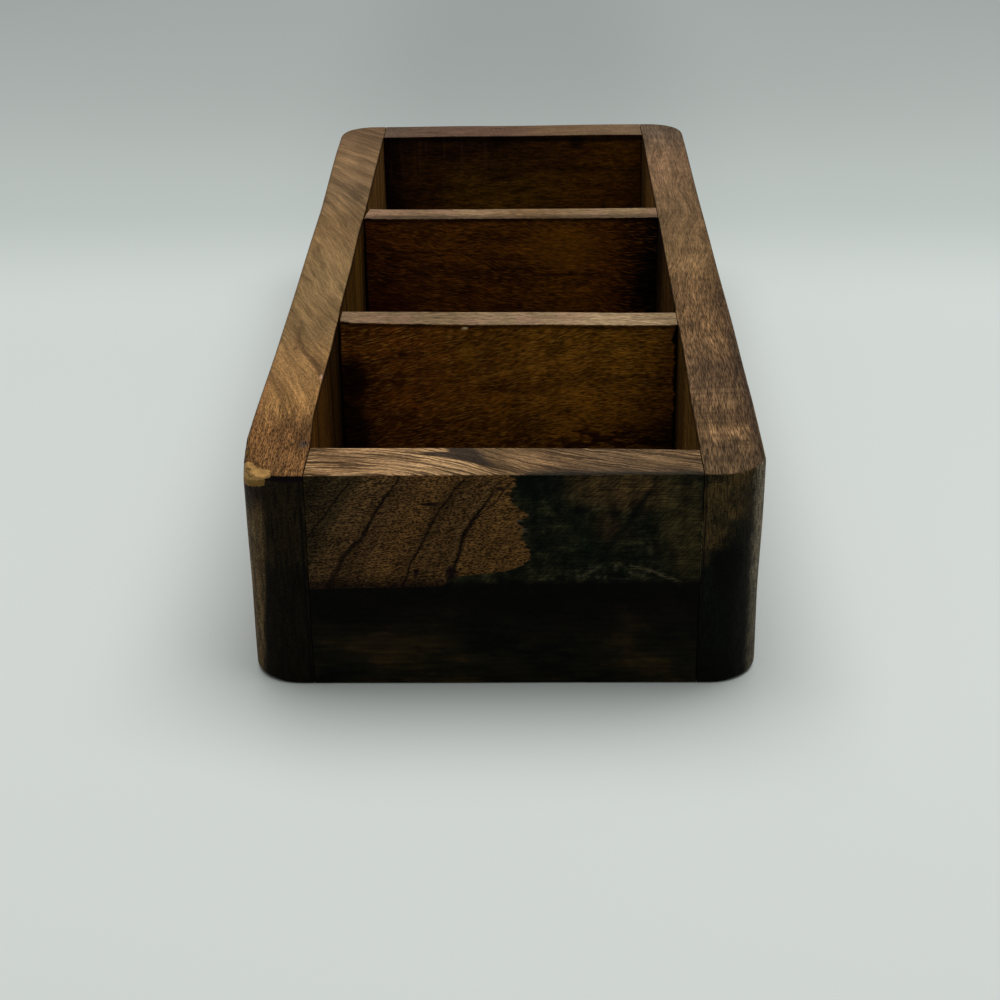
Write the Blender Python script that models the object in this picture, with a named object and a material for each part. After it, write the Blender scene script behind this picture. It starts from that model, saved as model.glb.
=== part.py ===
"""Compartment organizer box: a long open box of solid wood with three compartments in a row.

Two side boards run the full length and carry the rounded corners, so their ends show on the front
and back faces. The end panels stand between them, and two dividers make the three compartments.
Hidden dowels hold the end grain of the panels and dividers to the side boards. The bottom lies in
a rebate, flush with the undersides of the walls, and is nailed up into them.

Metres, +Z up. The origin is the centre of the underside. X runs across the box and Y along it,
with the front panel at -Y.
"""

import math

import bmesh
import bpy
from mathutils import Matrix, Vector

# Outside of the box
BOX_WIDTH = 0.136
BOX_LENGTH = 0.330
BOX_HEIGHT = 0.062

# Boards
SIDE_THICKNESS = 0.016
PANEL_THICKNESS = 0.0155
DIVIDER_THICKNESS = 0.0108
BOTTOM_THICKNESS = 0.007

# Compartments, front to back. The rear one takes what is left of the length.
FRONT_BAY_LENGTH = 0.0905
MIDDLE_BAY_LENGTH = 0.093

# Rounding, sanded on the glued-up box
CORNER_RADIUS = 0.0125
ARRIS_RADIUS = 0.0012
BAY_EDGE_EASING = 0.0006

# Rebate for the bottom, routed on the glued-up walls
REBATE_WIDTH = 0.006
ROUTER_RADIUS = 0.006

# Dowels
PANEL_DOWEL_DIAMETER = 0.006
DIVIDER_DOWEL_DIAMETER = 0.005
DOWEL_DEPTH_IN_SIDE = 0.0095
DOWEL_DEPTH_IN_END = 0.014
DOWEL_EDGE_DISTANCE = 0.014
DOWEL_CHAMFER = 0.0008

# Nails under the bottom
NAIL_LENGTH = 0.016
NAIL_SHANK_DIAMETER = 0.0014
NAIL_HEAD_DIAMETER = 0.0026
NAIL_HEAD_THICKNESS = 0.0006
NAIL_HEAD_EDGE = 0.0002
NAIL_POINT_LENGTH = 0.0022
NAIL_SINK = 0.0004

# Glue lines and bores
GLUE_GAP = 0.0003
BORE_CLEARANCE = 0.0003

# Modelling
CUT_MARGIN = 0.003
CORNER_SEGMENTS = 12
ARRIS_SEGMENTS = 4
DOWEL_SEGMENTS = 16
NAIL_SEGMENTS = 12
MERGE_DISTANCE = 0.000001
SMOOTH_ANGLE = math.radians(32)

# Places worked out from the sizes above
half_width = BOX_WIDTH / 2
half_length = BOX_LENGTH / 2
inner_half_width = half_width - SIDE_THICKNESS
inner_half_length = half_length - PANEL_THICKNESS
wall_foot = BOTTOM_THICKNESS + GLUE_GAP
front_divider_y = -inner_half_length + FRONT_BAY_LENGTH + DIVIDER_THICKNESS / 2
rear_divider_y = front_divider_y + DIVIDER_THICKNESS + MIDDLE_BAY_LENGTH
panel_y = half_length - PANEL_THICKNESS / 2

# Compartments as (front, back) along Y
bays = (
    (-inner_half_length, front_divider_y - DIVIDER_THICKNESS / 2),
    (front_divider_y + DIVIDER_THICKNESS / 2, rear_divider_y - DIVIDER_THICKNESS / 2),
    (rear_divider_y + DIVIDER_THICKNESS / 2, inner_half_length),
)

# Base colour and roughness of each piece
finishes = {
    "left_side_board": ((0.340, 0.185, 0.085), 0.55),
    "right_side_board": ((0.230, 0.120, 0.062), 0.55),
    "front_panel": ((0.200, 0.110, 0.060), 0.55),
    "back_panel": ((0.180, 0.092, 0.048), 0.55),
    "front_divider": ((0.215, 0.098, 0.040), 0.55),
    "rear_divider": ((0.195, 0.090, 0.040), 0.55),
    "bottom_panel": ((0.120, 0.066, 0.036), 0.65),
    "dowel": ((0.620, 0.450, 0.270), 0.70),
    "nail": ((0.340, 0.330, 0.310), 0.40),
}


def make_material(name, metallic=0.0):
    """The named piece's finish as a Principled material."""
    colour, roughness = finishes[name]
    material = bpy.data.materials.new(name)
    material.use_nodes = True
    shader = material.node_tree.nodes["Principled BSDF"]
    shader.inputs["Base Color"].default_value = (*colour, 1.0)
    shader.inputs["Roughness"].default_value = roughness
    shader.inputs["Metallic"].default_value = metallic
    return material


def mesh_from(name, bm, smooth=False):
    """Turns a bmesh into a mesh with outward normals."""
    bmesh.ops.recalc_face_normals(bm, faces=bm.faces)
    mesh = bpy.data.meshes.new(name)
    bm.to_mesh(mesh)
    bm.free()
    if smooth:
        mesh.shade_smooth()
        mesh.set_sharp_from_angle(angle=SMOOTH_ANGLE)
    return mesh


def place(name, mesh, location, material=None, rotation=(0.0, 0.0, 0.0)):
    """Links an object to the scene under the box's empty."""
    piece = bpy.data.objects.new(name, mesh)
    bpy.context.scene.collection.objects.link(piece)
    piece.location = location
    piece.rotation_euler = rotation
    piece.parent = box_origin
    if material is not None and not mesh.materials:
        mesh.materials.append(material)
    return piece


def place_cutter(name, bm, smooth=False):
    """A shape that only cuts others. It is drawn as wire and never rendered."""
    cutter = place(name, mesh_from(name, bm, smooth), (0.0, 0.0, 0.0))
    cutter.hide_render = True
    cutter.display_type = "WIRE"
    return cutter


def boolean(piece, operation, cutter):
    """Cuts a piece with a cutter, or keeps only what lies inside it."""
    modifier = piece.modifiers.new(cutter.name, "BOOLEAN")
    modifier.operation = operation
    modifier.solver = "EXACT"
    modifier.object = cutter


def add_block(bm, low, high):
    """A rectangular block between two opposite corners."""
    low, high = Vector(low), Vector(high)
    size = high - low
    matrix = Matrix.Translation((low + high) / 2) @ Matrix.Diagonal((*size, 1.0))
    bmesh.ops.create_cube(bm, size=1.0, matrix=matrix)


def add_bore(bm, start, end, radius, segments):
    """A round bar from one point to another."""
    start, end = Vector(start), Vector(end)
    along = end - start
    turn = along.to_track_quat("Z", "Y").to_matrix().to_4x4()
    matrix = Matrix.Translation((start + end) / 2) @ turn
    bmesh.ops.create_cone(
        bm,
        cap_ends=True,
        segments=segments,
        radius1=radius,
        radius2=radius,
        depth=along.length,
        matrix=matrix,
    )


def rounded_rectangle(half_x, half_y, radius):
    """The outline of a rectangle with arcs for corners, counterclockwise."""
    radius = max(min(radius, half_x, half_y), MERGE_DISTANCE)
    points = []
    for corner, (sign_x, sign_y) in enumerate(((1, 1), (-1, 1), (-1, -1), (1, -1))):
        for step in range(CORNER_SEGMENTS + 1):
            angle = math.pi / 2 * (corner + step / CORNER_SEGMENTS)
            x = sign_x * (half_x - radius) + radius * math.cos(angle)
            y = sign_y * (half_y - radius) + radius * math.sin(angle)
            points.append((x, y))
    return points


def loft(bm, rings):
    """Skins a stack of outlines, each (points, height), and caps both ends."""
    loops = []
    for points, height in rings:
        verts = [bm.verts.new((x, y, height)) for x, y in points]
        loops.append(verts)
    for lower, upper in zip(loops, loops[1:]):
        for i in range(len(lower)):
            j = (i + 1) % len(lower)
            bm.faces.new((lower[i], lower[j], upper[j], upper[i]))
    bm.faces.new(reversed(loops[0]))
    bm.faces.new(loops[-1])


def turned_mesh(name, profile, segments):
    """A mesh of revolution about local Z, from a profile of (radius, height) points."""
    bm = bmesh.new()
    verts = [bm.verts.new((radius, 0.0, height)) for radius, height in profile]
    edges = [bm.edges.new(pair) for pair in zip(verts, verts[1:])]
    bmesh.ops.spin(
        bm,
        geom=verts + edges,
        cent=(0.0, 0.0, 0.0),
        axis=(0.0, 0.0, 1.0),
        angle=math.tau,
        steps=segments,
        use_merge=True,
    )
    bmesh.ops.remove_doubles(bm, verts=bm.verts, dist=MERGE_DISTANCE)
    return mesh_from(name, bm, smooth=True)


def make_outside():
    """The sanded outside of the box: rounded in plan, with rounded arrises above and below."""
    radius = min(ARRIS_RADIUS, CORNER_RADIUS / 2, SIDE_THICKNESS / 2)
    lower = []
    for step in range(ARRIS_SEGMENTS + 1):
        angle = math.pi / 2 * step / ARRIS_SEGMENTS
        lower.append((radius * (1 - math.sin(angle)), radius * (1 - math.cos(angle))))
    upper = [(inset, BOX_HEIGHT - height) for inset, height in reversed(lower)]
    rings = []
    for inset, height in lower + upper:
        outline = rounded_rectangle(half_width - inset, half_length - inset, CORNER_RADIUS - inset)
        rings.append((outline, height))
    bm = bmesh.new()
    loft(bm, rings)
    return place_cutter("outside", bm, smooth=True)


def make_rebate():
    """The rebate for the bottom, with the round corners that a router leaves."""
    outline = rounded_rectangle(
        inner_half_width + REBATE_WIDTH, inner_half_length + REBATE_WIDTH, ROUTER_RADIUS
    )
    bm = bmesh.new()
    loft(bm, [(outline, -CUT_MARGIN), (outline, wall_foot)])
    return place_cutter("rebate", bm)


def make_bay_edges():
    """Eases the rim round each compartment with a chamfer."""
    ease = BAY_EDGE_EASING
    bm = bmesh.new()
    for front, back in bays:
        rings = []
        for growth, height in ((-ease, BOX_HEIGHT - 2 * ease), (2 * ease, BOX_HEIGHT + ease)):
            x = inner_half_width + growth
            low, high = front - growth, back + growth
            rings.append((((-x, low), (x, low), (x, high), (-x, high)), height))
        loft(bm, rings)
    return place_cutter("bay_edges", bm)


def end_joints():
    """Each end-grain joint as (name, Y of the piece, dowel diameter)."""
    return (
        ("front_panel", -panel_y, PANEL_DOWEL_DIAMETER),
        ("front_divider", front_divider_y, DIVIDER_DOWEL_DIAMETER),
        ("rear_divider", rear_divider_y, DIVIDER_DOWEL_DIAMETER),
        ("back_panel", panel_y, PANEL_DOWEL_DIAMETER),
    )


def dowel_heights():
    """The lower and upper dowel of each joint, as (name, Z)."""
    return (
        ("lower", wall_foot + DOWEL_EDGE_DISTANCE),
        ("upper", BOX_HEIGHT - DOWEL_EDGE_DISTANCE),
    )


def nail_places():
    """Each nail as (name, X, Y, the piece that it is driven up into)."""
    side_x = inner_half_width + REBATE_WIDTH / 2
    end_y = inner_half_length + REBATE_WIDTH / 2
    places = []
    for bay, (front, back) in zip(("front", "middle", "rear"), bays):
        middle = (front + back) / 2
        places.append((f"nail_left_{bay}", -side_x, middle, "left_side_board"))
        places.append((f"nail_right_{bay}", side_x, middle, "right_side_board"))
    for end, y in (("front", -end_y), ("back", end_y)):
        places.append((f"nail_{end}_left", -inner_half_width / 2, y, f"{end}_panel"))
        places.append((f"nail_{end}_right", inner_half_width / 2, y, f"{end}_panel"))
    places.append(("nail_front_divider", 0.0, front_divider_y, "front_divider"))
    places.append(("nail_rear_divider", 0.0, rear_divider_y, "rear_divider"))
    return places


def make_bores(board):
    """All dowel bores and nail pilot holes of one wall, as one cutter."""
    bm = bmesh.new()
    side_reach = inner_half_width + DOWEL_DEPTH_IN_SIDE + BORE_CLEARANCE
    end_reach = inner_half_width - GLUE_GAP - DOWEL_DEPTH_IN_END - BORE_CLEARANCE
    for name, y, diameter in end_joints():
        radius = diameter / 2 + BORE_CLEARANCE
        for _, z in dowel_heights():
            for side, sign in (("left", -1), ("right", 1)):
                if board in (name, f"{side}_side_board"):
                    start = (sign * end_reach, y, z)
                    end = (sign * side_reach, y, z)
                    add_bore(bm, start, end, radius, DOWEL_SEGMENTS)
    nail_reach = NAIL_SINK + NAIL_LENGTH + BORE_CLEARANCE
    for _, x, y, wall in nail_places():
        if board == wall:
            radius = NAIL_SHANK_DIAMETER / 2 + BORE_CLEARANCE
            start = (x, y, BOTTOM_THICKNESS - CUT_MARGIN)
            add_bore(bm, start, (x, y, nail_reach), radius, NAIL_SEGMENTS)
    return place_cutter(f"{board}_bores", bm)


def make_wall(name, low, high, origin, cutters):
    """One upright board: its blank, kept inside the sanded outside, then eased and bored."""
    bm = bmesh.new()
    add_block(bm, Vector(low) - Vector(origin), Vector(high) - Vector(origin))
    wall = place(name, mesh_from(name, bm), origin, make_material(name))
    boolean(wall, "INTERSECT", cutters["outside"])
    boolean(wall, "DIFFERENCE", cutters["bay_edges"])
    boolean(wall, "DIFFERENCE", make_bores(name))
    return wall


def make_side_boards(cutters):
    """The two long boards. Their ends show on the front and back faces."""
    for name, sign in (("left_side_board", -1), ("right_side_board", 1)):
        inner = sign * inner_half_width
        outer = sign * (half_width + CUT_MARGIN)
        low = (min(inner, outer), -half_length - CUT_MARGIN, -CUT_MARGIN)
        high = (max(inner, outer), half_length + CUT_MARGIN, BOX_HEIGHT + CUT_MARGIN)
        origin = (sign * (half_width - SIDE_THICKNESS / 2), 0.0, 0.0)
        board = make_wall(name, low, high, origin, cutters)
        boolean(board, "DIFFERENCE", cutters["rebate"])


def make_end_panels(cutters):
    """The front and back panels, between the side boards."""
    reach = inner_half_width - GLUE_GAP
    for name, sign in (("front_panel", -1), ("back_panel", 1)):
        inner = sign * inner_half_length
        outer = sign * (half_length + CUT_MARGIN)
        low = (-reach, min(inner, outer), -CUT_MARGIN)
        high = (reach, max(inner, outer), BOX_HEIGHT + CUT_MARGIN)
        panel = make_wall(name, low, high, (0.0, sign * panel_y, 0.0), cutters)
        boolean(panel, "DIFFERENCE", cutters["rebate"])


def make_dividers(cutters):
    """The two dividers, between the side boards and on the bottom."""
    reach = inner_half_width - GLUE_GAP
    for name, y in (("front_divider", front_divider_y), ("rear_divider", rear_divider_y)):
        low = (-reach, y - DIVIDER_THICKNESS / 2, wall_foot)
        high = (reach, y + DIVIDER_THICKNESS / 2, BOX_HEIGHT + CUT_MARGIN)
        make_wall(name, low, high, (0.0, y, wall_foot), cutters)


def make_bottom():
    """The bottom board, with a counterbored hole for each nail."""
    outline = rounded_rectangle(
        inner_half_width + REBATE_WIDTH - GLUE_GAP,
        inner_half_length + REBATE_WIDTH - GLUE_GAP,
        ROUTER_RADIUS - GLUE_GAP,
    )
    bm = bmesh.new()
    loft(bm, [(outline, 0.0), (outline, BOTTOM_THICKNESS)])
    bottom = place(
        "bottom_panel",
        mesh_from("bottom_panel", bm),
        (0.0, 0.0, 0.0),
        make_material("bottom_panel"),
    )
    shanks, heads = bmesh.new(), bmesh.new()
    head_seat = NAIL_SINK + NAIL_HEAD_THICKNESS + BORE_CLEARANCE
    for _, x, y, _ in nail_places():
        below, above = (x, y, -CUT_MARGIN), (x, y, BOTTOM_THICKNESS + CUT_MARGIN)
        shank_radius = NAIL_SHANK_DIAMETER / 2 + BORE_CLEARANCE
        head_radius = NAIL_HEAD_DIAMETER / 2 + BORE_CLEARANCE
        add_bore(shanks, below, above, shank_radius, NAIL_SEGMENTS)
        add_bore(heads, below, (x, y, head_seat), head_radius, NAIL_SEGMENTS)
    boolean(bottom, "DIFFERENCE", place_cutter("bottom_shank_bores", shanks))
    boolean(bottom, "DIFFERENCE", place_cutter("bottom_head_seats", heads))


def make_dowels():
    """Chamfered dowels, half in a side board and half in the end grain that meets it."""
    material = make_material("dowel")
    length = DOWEL_DEPTH_IN_SIDE + GLUE_GAP + DOWEL_DEPTH_IN_END
    meshes = {}
    for diameter in {PANEL_DOWEL_DIAMETER, DIVIDER_DOWEL_DIAMETER}:
        radius, half = diameter / 2, length / 2
        chamfer = min(DOWEL_CHAMFER, radius / 2)
        profile = (
            (0.0, -half),
            (radius - chamfer, -half),
            (radius, -half + chamfer),
            (radius, half - chamfer),
            (radius - chamfer, half),
            (0.0, half),
        )
        meshes[diameter] = turned_mesh("dowel", profile, DOWEL_SEGMENTS)
    middle_x = inner_half_width + DOWEL_DEPTH_IN_SIDE - length / 2
    for joint, y, diameter in end_joints():
        for level, z in dowel_heights():
            for side, sign in (("left", -1), ("right", 1)):
                name = f"{joint}_dowel_{side}_{level}"
                turn = (0.0, math.pi / 2, 0.0)
                place(name, meshes[diameter], (sign * middle_x, y, z), material, turn)


def make_nails():
    """Flat-headed nails, point up, with their heads a little below the underside."""
    material = make_material("nail", metallic=1.0)
    shank, head = NAIL_SHANK_DIAMETER / 2, NAIL_HEAD_DIAMETER / 2
    edge = min(NAIL_HEAD_EDGE, NAIL_HEAD_THICKNESS / 2)
    profile = (
        (0.0, 0.0),
        (head - edge, 0.0),
        (head, edge),
        (head, NAIL_HEAD_THICKNESS),
        (shank, NAIL_HEAD_THICKNESS),
        (shank, NAIL_LENGTH - NAIL_POINT_LENGTH),
        (0.0, NAIL_LENGTH),
    )
    mesh = turned_mesh("nail", profile, NAIL_SEGMENTS)
    for name, x, y, _ in nail_places():
        place(name, mesh, (x, y, NAIL_SINK), material)


for old in list(bpy.data.objects):
    bpy.data.objects.remove(old)

box_origin = bpy.data.objects.new("organizer_box", None)
bpy.context.scene.collection.objects.link(box_origin)

shared_cutters = {
    "outside": make_outside(),
    "rebate": make_rebate(),
    "bay_edges": make_bay_edges(),
}
make_side_boards(shared_cutters)
make_end_panels(shared_cutters)
make_dividers(shared_cutters)
make_bottom()
make_dowels()
make_nails()
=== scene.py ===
"""Looks of the compartment organizer box: hand-sanded, oiled boards, partly stained dark.

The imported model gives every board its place. Each of the seven boards is replaced by a finer mesh
with softened edges, the slight unevenness of hand work, nicks and a chipped corner, and has a node
material of its own. The dowels and nails stay as they are and get materials. Boards and patterns
are worked out in millimetres, and meshes become metres when they are made.
"""

import math
import random

import bpy
import numpy as np
from mathutils import Matrix, Vector


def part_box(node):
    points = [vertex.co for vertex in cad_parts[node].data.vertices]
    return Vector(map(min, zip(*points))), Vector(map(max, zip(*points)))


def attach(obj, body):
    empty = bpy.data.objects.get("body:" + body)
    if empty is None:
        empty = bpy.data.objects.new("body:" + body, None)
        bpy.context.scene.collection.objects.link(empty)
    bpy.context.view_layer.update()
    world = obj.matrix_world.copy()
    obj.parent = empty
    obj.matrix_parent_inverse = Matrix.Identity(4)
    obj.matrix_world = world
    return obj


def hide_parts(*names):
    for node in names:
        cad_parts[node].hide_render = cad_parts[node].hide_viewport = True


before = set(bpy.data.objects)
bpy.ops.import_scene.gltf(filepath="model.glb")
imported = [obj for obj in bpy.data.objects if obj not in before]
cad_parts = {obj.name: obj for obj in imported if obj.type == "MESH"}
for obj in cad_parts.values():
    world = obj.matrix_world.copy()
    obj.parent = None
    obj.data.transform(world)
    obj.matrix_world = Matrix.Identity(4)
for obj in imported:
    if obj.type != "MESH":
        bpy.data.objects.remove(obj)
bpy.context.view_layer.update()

MM_PER_M = 1000.0
SEED = 7

# Camera, fitted to the vanishing lines of the long edges and to the scale at the front face
CAMERA_PLACE_M = (0.0074, -0.6065, 0.2728)
CAMERA_TILT = math.radians(26.27)
CAMERA_YAW = math.radians(1.05)
CAMERA_ROLL = math.radians(-0.63)
CAMERA_LENS = 69.336
CAMERA_SENSOR = 36.0
CAMERA_CLIP_M = (0.01, 20.0)

# Boards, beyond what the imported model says
CORNER_RADIUS = 12.5
JOINT_GAP = 0.2
GRID_STEP = 1.3
BOTTOM_GRID_STEP = 2.4
EDGE_LINES = (0.0, 0.12, 0.3, 0.55, 0.85, 1.25, 1.75)
SHARP_ANGLE = math.radians(34)

# Radius of the outer arrises, and how much softer or crisper they are in places
ARRIS = 1.3
ARRIS_SOFTER_ALONG = 0.3
ARRIS_CRISPER_AT_ENDS = 0.6
# Radius of the top edges
JOINT_EASING = 0.1
BAY_EASING = 0.65
EASING_RUN = 1.5
PANEL_EASING = 0.6
PANEL_END_EASING = 0.2
DIVIDER_FRONT_EASING = 0.5
DIVIDER_REAR_EASING = 0.7

# Bores and nail holes
BORE_CLEARANCE = 0.3
BORE_SEGMENTS = 24
NAIL_SHANK_RADIUS = 0.7
NAIL_HEAD_THICKNESS = 0.6
REBATE_WIDTH = 6.0
ROUTER_RADIUS = 6.0
CUT_MARGIN = 3.0


def box_mm(node):
    """Lowest and highest corner of a CAD node in millimetres."""
    low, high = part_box(node)
    return np.array(low) * MM_PER_M, np.array(high) * MM_PER_M


left_low, left_high = box_mm("left_side_board")
HALF_WIDTH = -left_low[0]
HALF_LENGTH = -left_low[1]
TOP = left_high[2]
INNER_X = -left_high[0]
INNER_Y = -box_mm("front_panel")[1][1]
BOTTOM_TOP = box_mm("bottom_panel")[1][2]


def clamp01(values):
    return np.clip(values, 0.0, 1.0)


def smooth_step(values, start, end):
    """0 before start, 1 after end, and a smooth rise between them."""
    share = clamp01((values - start) / (end - start))
    return share * share * (3 - 2 * share)


def bump(values, centre, width):
    """A smooth hill of height 1 at centre that ends width away from it."""
    return smooth_step(width - np.abs(values - centre), 0, width)


def grid_lines(low, high, step=GRID_STEP):
    """Grid places from low to high, close together near both ends, where edges get rounded."""
    edge = np.array(EDGE_LINES)
    inner_low, inner_high = low + edge[-1], high - edge[-1]
    count = max(2, int(round((inner_high - inner_low) / step)))
    inner = np.linspace(inner_low, inner_high, count + 1)[1:-1]
    return np.concatenate((low + edge, inner, high - edge[::-1]))


def grid_block(places):
    """The surface of a block cut along the given X, Y and Z places, as points and quads."""
    counts = [len(axis_places) for axis_places in places]
    quads = []
    for axis in range(3):
        second, third = (axis + 1) % 3, (axis + 2) % 3
        b, c = np.meshgrid(np.arange(counts[second] - 1), np.arange(counts[third] - 1))
        for end in (0, counts[axis] - 1):
            corners = np.zeros((4, b.size, 3), int)
            corners[:, :, axis] = end
            for corner, (step_b, step_c) in enumerate(((0, 0), (1, 0), (1, 1), (0, 1))):
                corners[corner, :, second] = b.ravel() + step_b
                corners[corner, :, third] = c.ravel() + step_c
            number = (corners[..., 0] * counts[1] + corners[..., 1]) * counts[2] + corners[..., 2]
            quads.append((number if end else number[::-1]).T)
    used, faces = np.unique(np.concatenate(quads), return_inverse=True)
    index = np.stack(np.unravel_index(used, counts), 1)
    points = np.stack([np.asarray(places[a])[index[:, a]] for a in range(3)], 1)
    return points, faces.reshape(-1, 4)


def rounded_depths(first, second, radius):
    """Depths of points below two faces that meet, once the edge between them is rounded."""
    a, b = radius - first, radius - second
    near = (a > 0) & (b > 0)
    length = np.where(near, np.hypot(a, b), 1.0)
    scale = np.where(near, np.maximum(a, b) / length, 1.0)
    return np.where(near, radius - a * scale, first), np.where(near, radius - b * scale, second)


def arris_radius(points):
    """Radius of the outer arrises: crisp in front and behind, softer along the sides."""
    along = smooth_step(np.abs(points[:, 0]), INNER_X + 2, HALF_WIDTH - 2)
    front = smooth_step(-points[:, 1], HALF_LENGTH - CORNER_RADIUS, HALF_LENGTH - 2)
    rear = smooth_step(points[:, 1], HALF_LENGTH - CORNER_RADIUS, HALF_LENGTH - 2)
    crisper = ARRIS_CRISPER_AT_ENDS * (front * (1 - along) + rear)
    return ARRIS + ARRIS_SOFTER_ALONG * along - crisper


def round_outside(points):
    """Rounds the box's upright corners and its upper and lower outer arrises."""
    x, y, z = points.T
    side_x, side_y = np.sign(x), np.sign(y)
    depth_x, depth_y = rounded_depths(HALF_WIDTH - np.abs(x), HALF_LENGTH - np.abs(y), CORNER_RADIUS)
    a, b = CORNER_RADIUS - depth_x, CORNER_RADIUS - depth_y
    corner = (a > 0) & (b > 0)
    reach = np.where(corner, np.hypot(a, b), 1.0)
    depth = np.where(corner, CORNER_RADIUS - reach, np.minimum(depth_x, depth_y))
    push_x = np.where(corner, a / reach, (depth_x < depth_y).astype(float))
    push_y = np.where(corner, b / reach, (depth_x >= depth_y).astype(float))
    radius = arris_radius(points)
    for level, upward in ((TOP, 1), (0.0, -1)):
        new_depth, below = rounded_depths(depth, upward * (level - z), radius)
        depth_x = depth_x + push_x * (new_depth - depth)
        depth_y = depth_y + push_y * (new_depth - depth)
        z = level - upward * below
        depth = new_depth
    return np.stack((side_x * (HALF_WIDTH - depth_x), side_y * (HALF_LENGTH - depth_y), z), 1)


def round_top_edge(points, axis, face, inward, radius):
    """Rounds the top edge of a face. Inward is the direction in which the wood lies."""
    depth, below = rounded_depths(inward * (points[:, axis] - face), TOP - points[:, 2], radius)
    points[:, axis] = face + inward * depth
    points[:, 2] = TOP - below


def rim_easing(points):
    """Radius of the side boards' inner top edges: eased along the bays, tight at the joints."""
    y = points[:, 1]
    ends = [-INNER_Y]
    for divider in ("front_divider", "rear_divider"):
        low, high = box_mm(divider)
        ends += [low[1], high[1]]
    ends.append(INNER_Y)
    radius = np.full(len(points), JOINT_EASING)
    for start, end in zip(ends[::2], ends[1::2]):
        within_bay = smooth_step(y, start, start + EASING_RUN) * smooth_step(-y, -end, EASING_RUN - end)
        radius += BAY_EASING * within_bay
    return radius


WAVES = 9
WAVE_HEIGHT = 0.028
WAVE_LENGTHS = (30, 95)


def unevenness(points):
    """Slow waves of hand sanding. They are the same for all boards, so the joints stay closed."""
    draw = random.Random(SEED)
    push = np.zeros_like(points)
    for _ in range(WAVES):
        direction = np.array([draw.gauss(0, 1) for _ in range(3)])
        direction /= np.linalg.norm(direction)
        turn = math.tau / draw.uniform(*WAVE_LENGTHS)
        amount = np.array([draw.gauss(0, WAVE_HEIGHT) for _ in range(3)])
        push += amount * np.sin(turn * (points @ direction) + draw.uniform(0, math.tau))[:, None]
    push[:, 2] *= smooth_step(points[:, 2], 0.5, 12)
    return push


# Shifts in mm by place along the box, of the side boards' faces
LEFT_INNER_SHIFT = (
    (-165, 0.95), (-147, 0.95), (-128, 0), (-108, 0.1), (-78, 0.6), (-45, 0.2), (-5, 0.5), (30, 0.1),
    (70, 0.5), (165, 0.5),
)
RIGHT_INNER_SHIFT = ((-165, -0.6), (-145, -0.75), (-118, -0.8), (-100, -0.35), (-80, 0), (165, 0))
LEFT_OUTER_SHIFT = (
    (-165, 0), (-150, 0), (-145, -0.14), (-140, -0.56), (-128, -0.6), (-118, -0.55), (-95, -0.2), (-80, 0),
    (60, 0), (89, -0.33), (131, -0.95), (165, -0.9),
)
RIGHT_OUTER_SHIFT = ((-165, 0), (-145, 0.3), (-115, 0.65), (-60, 0.7), (0, 0.5), (60, 0.35), (165, 0.3))
LEFT_CORNER_SHIFT = 0.6
FOOT_SHIFT = 0.4
# How far the rear rim is up: everywhere, more at the right, less at the left
REAR_RISE = (0.15, 0.45, -0.2)
SIDE_SHIFT_REACH = 13
# Shifts by place across the box
RIM_INNER_SHIFT = ((-52, 1.65), (-20, 1.3), (0, 1), (25, 0.7), (52, -0.4))
DIVIDER_SHIFT = {
    "front_divider": ((-52, 1.3), (-15, 0.1), (10, -0.2), (35, -1.2), (52, -1)),
    "rear_divider": ((-52, 0.3), (-42, -0.3), (0, -0.3), (52, 0)),
}
FRONT_DIVIDER_WEAR = ((-52, 2.6), (-47, 1.2), (-35, 0.5), (-10, 0), (52, 0))


def curve(values, points):
    """Reads a number off straight lines through points."""
    return np.interp(values, *zip(*points))


def hand_work(points):
    """Where the real boards differ from the drawing: uneven widths, and a rear right corner up."""
    x, y, z = points.T
    left, right = (smooth_step(side * x, INNER_X, HALF_WIDTH) for side in (-1, 1))
    push = np.zeros_like(points)
    push[:, 0] += curve(y, LEFT_INNER_SHIFT) * bump(x, -INNER_X, SIDE_SHIFT_REACH)
    push[:, 0] += curve(y, RIGHT_INNER_SHIFT) * bump(x, INNER_X, SIDE_SHIFT_REACH)
    push[:, 0] += curve(y, RIGHT_OUTER_SHIFT) * right + curve(y, LEFT_OUTER_SHIFT) * left
    push[:, 0] += LEFT_CORNER_SHIFT * left * bump(y, -156, 11) * smooth_step(z, 55, 62)
    push[:, 0] += FOOT_SHIFT * smooth_step(-y, 120, 160) * smooth_step(-z, -44, -20) * (left - right)
    everywhere, at_right, at_left = REAR_RISE
    rise = everywhere + at_right * smooth_step(x, -10, 45) + at_left * smooth_step(-x, 20, 50)
    push[:, 2] += rise * smooth_step(y, 60, 160) * smooth_step(z, 5, 50)
    inner = smooth_step(-y, HALF_LENGTH - 3, INNER_Y) * smooth_step(-y, 128, 147)
    push[:, 1] += inner * curve(x, RIM_INNER_SHIFT) * smooth_step(-np.abs(x), -INNER_X - 1, 1 - INNER_X)
    return push


CHIP_STEP = 0.4
CHIP_ZONE = ((-66, -58), (-163, -153), (56, 60))
CHIP_ROUGHNESS = 0.14
CHIP_CENTRE = (-66.0, -164.0, TOP + 8.0)
CHIP_RADIUS = 10.4
CHIP_FACET = (-64.0, -161.0, 60.7)
CHIP_FACET_NORMAL = (-0.68, -0.68, 0.27)
DENT_FALL = 1.5
# Nicks along the left rim's inner edge, each as (centre, reach, push)
NICKS = (
    ((-52.3, -39.1, TOP), (1.6, 2.6, 1.2), (-0.9, 0.0, -0.3)),
    ((-52.3, -99.3, TOP), (1.8, 3.2, 1.6), (-0.8, 0.0, -0.5)),
    ((-52.1, -144.4, TOP), (2.0, 3.0, 1.6), (-0.7, 0.0, -0.5)),
)


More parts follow.
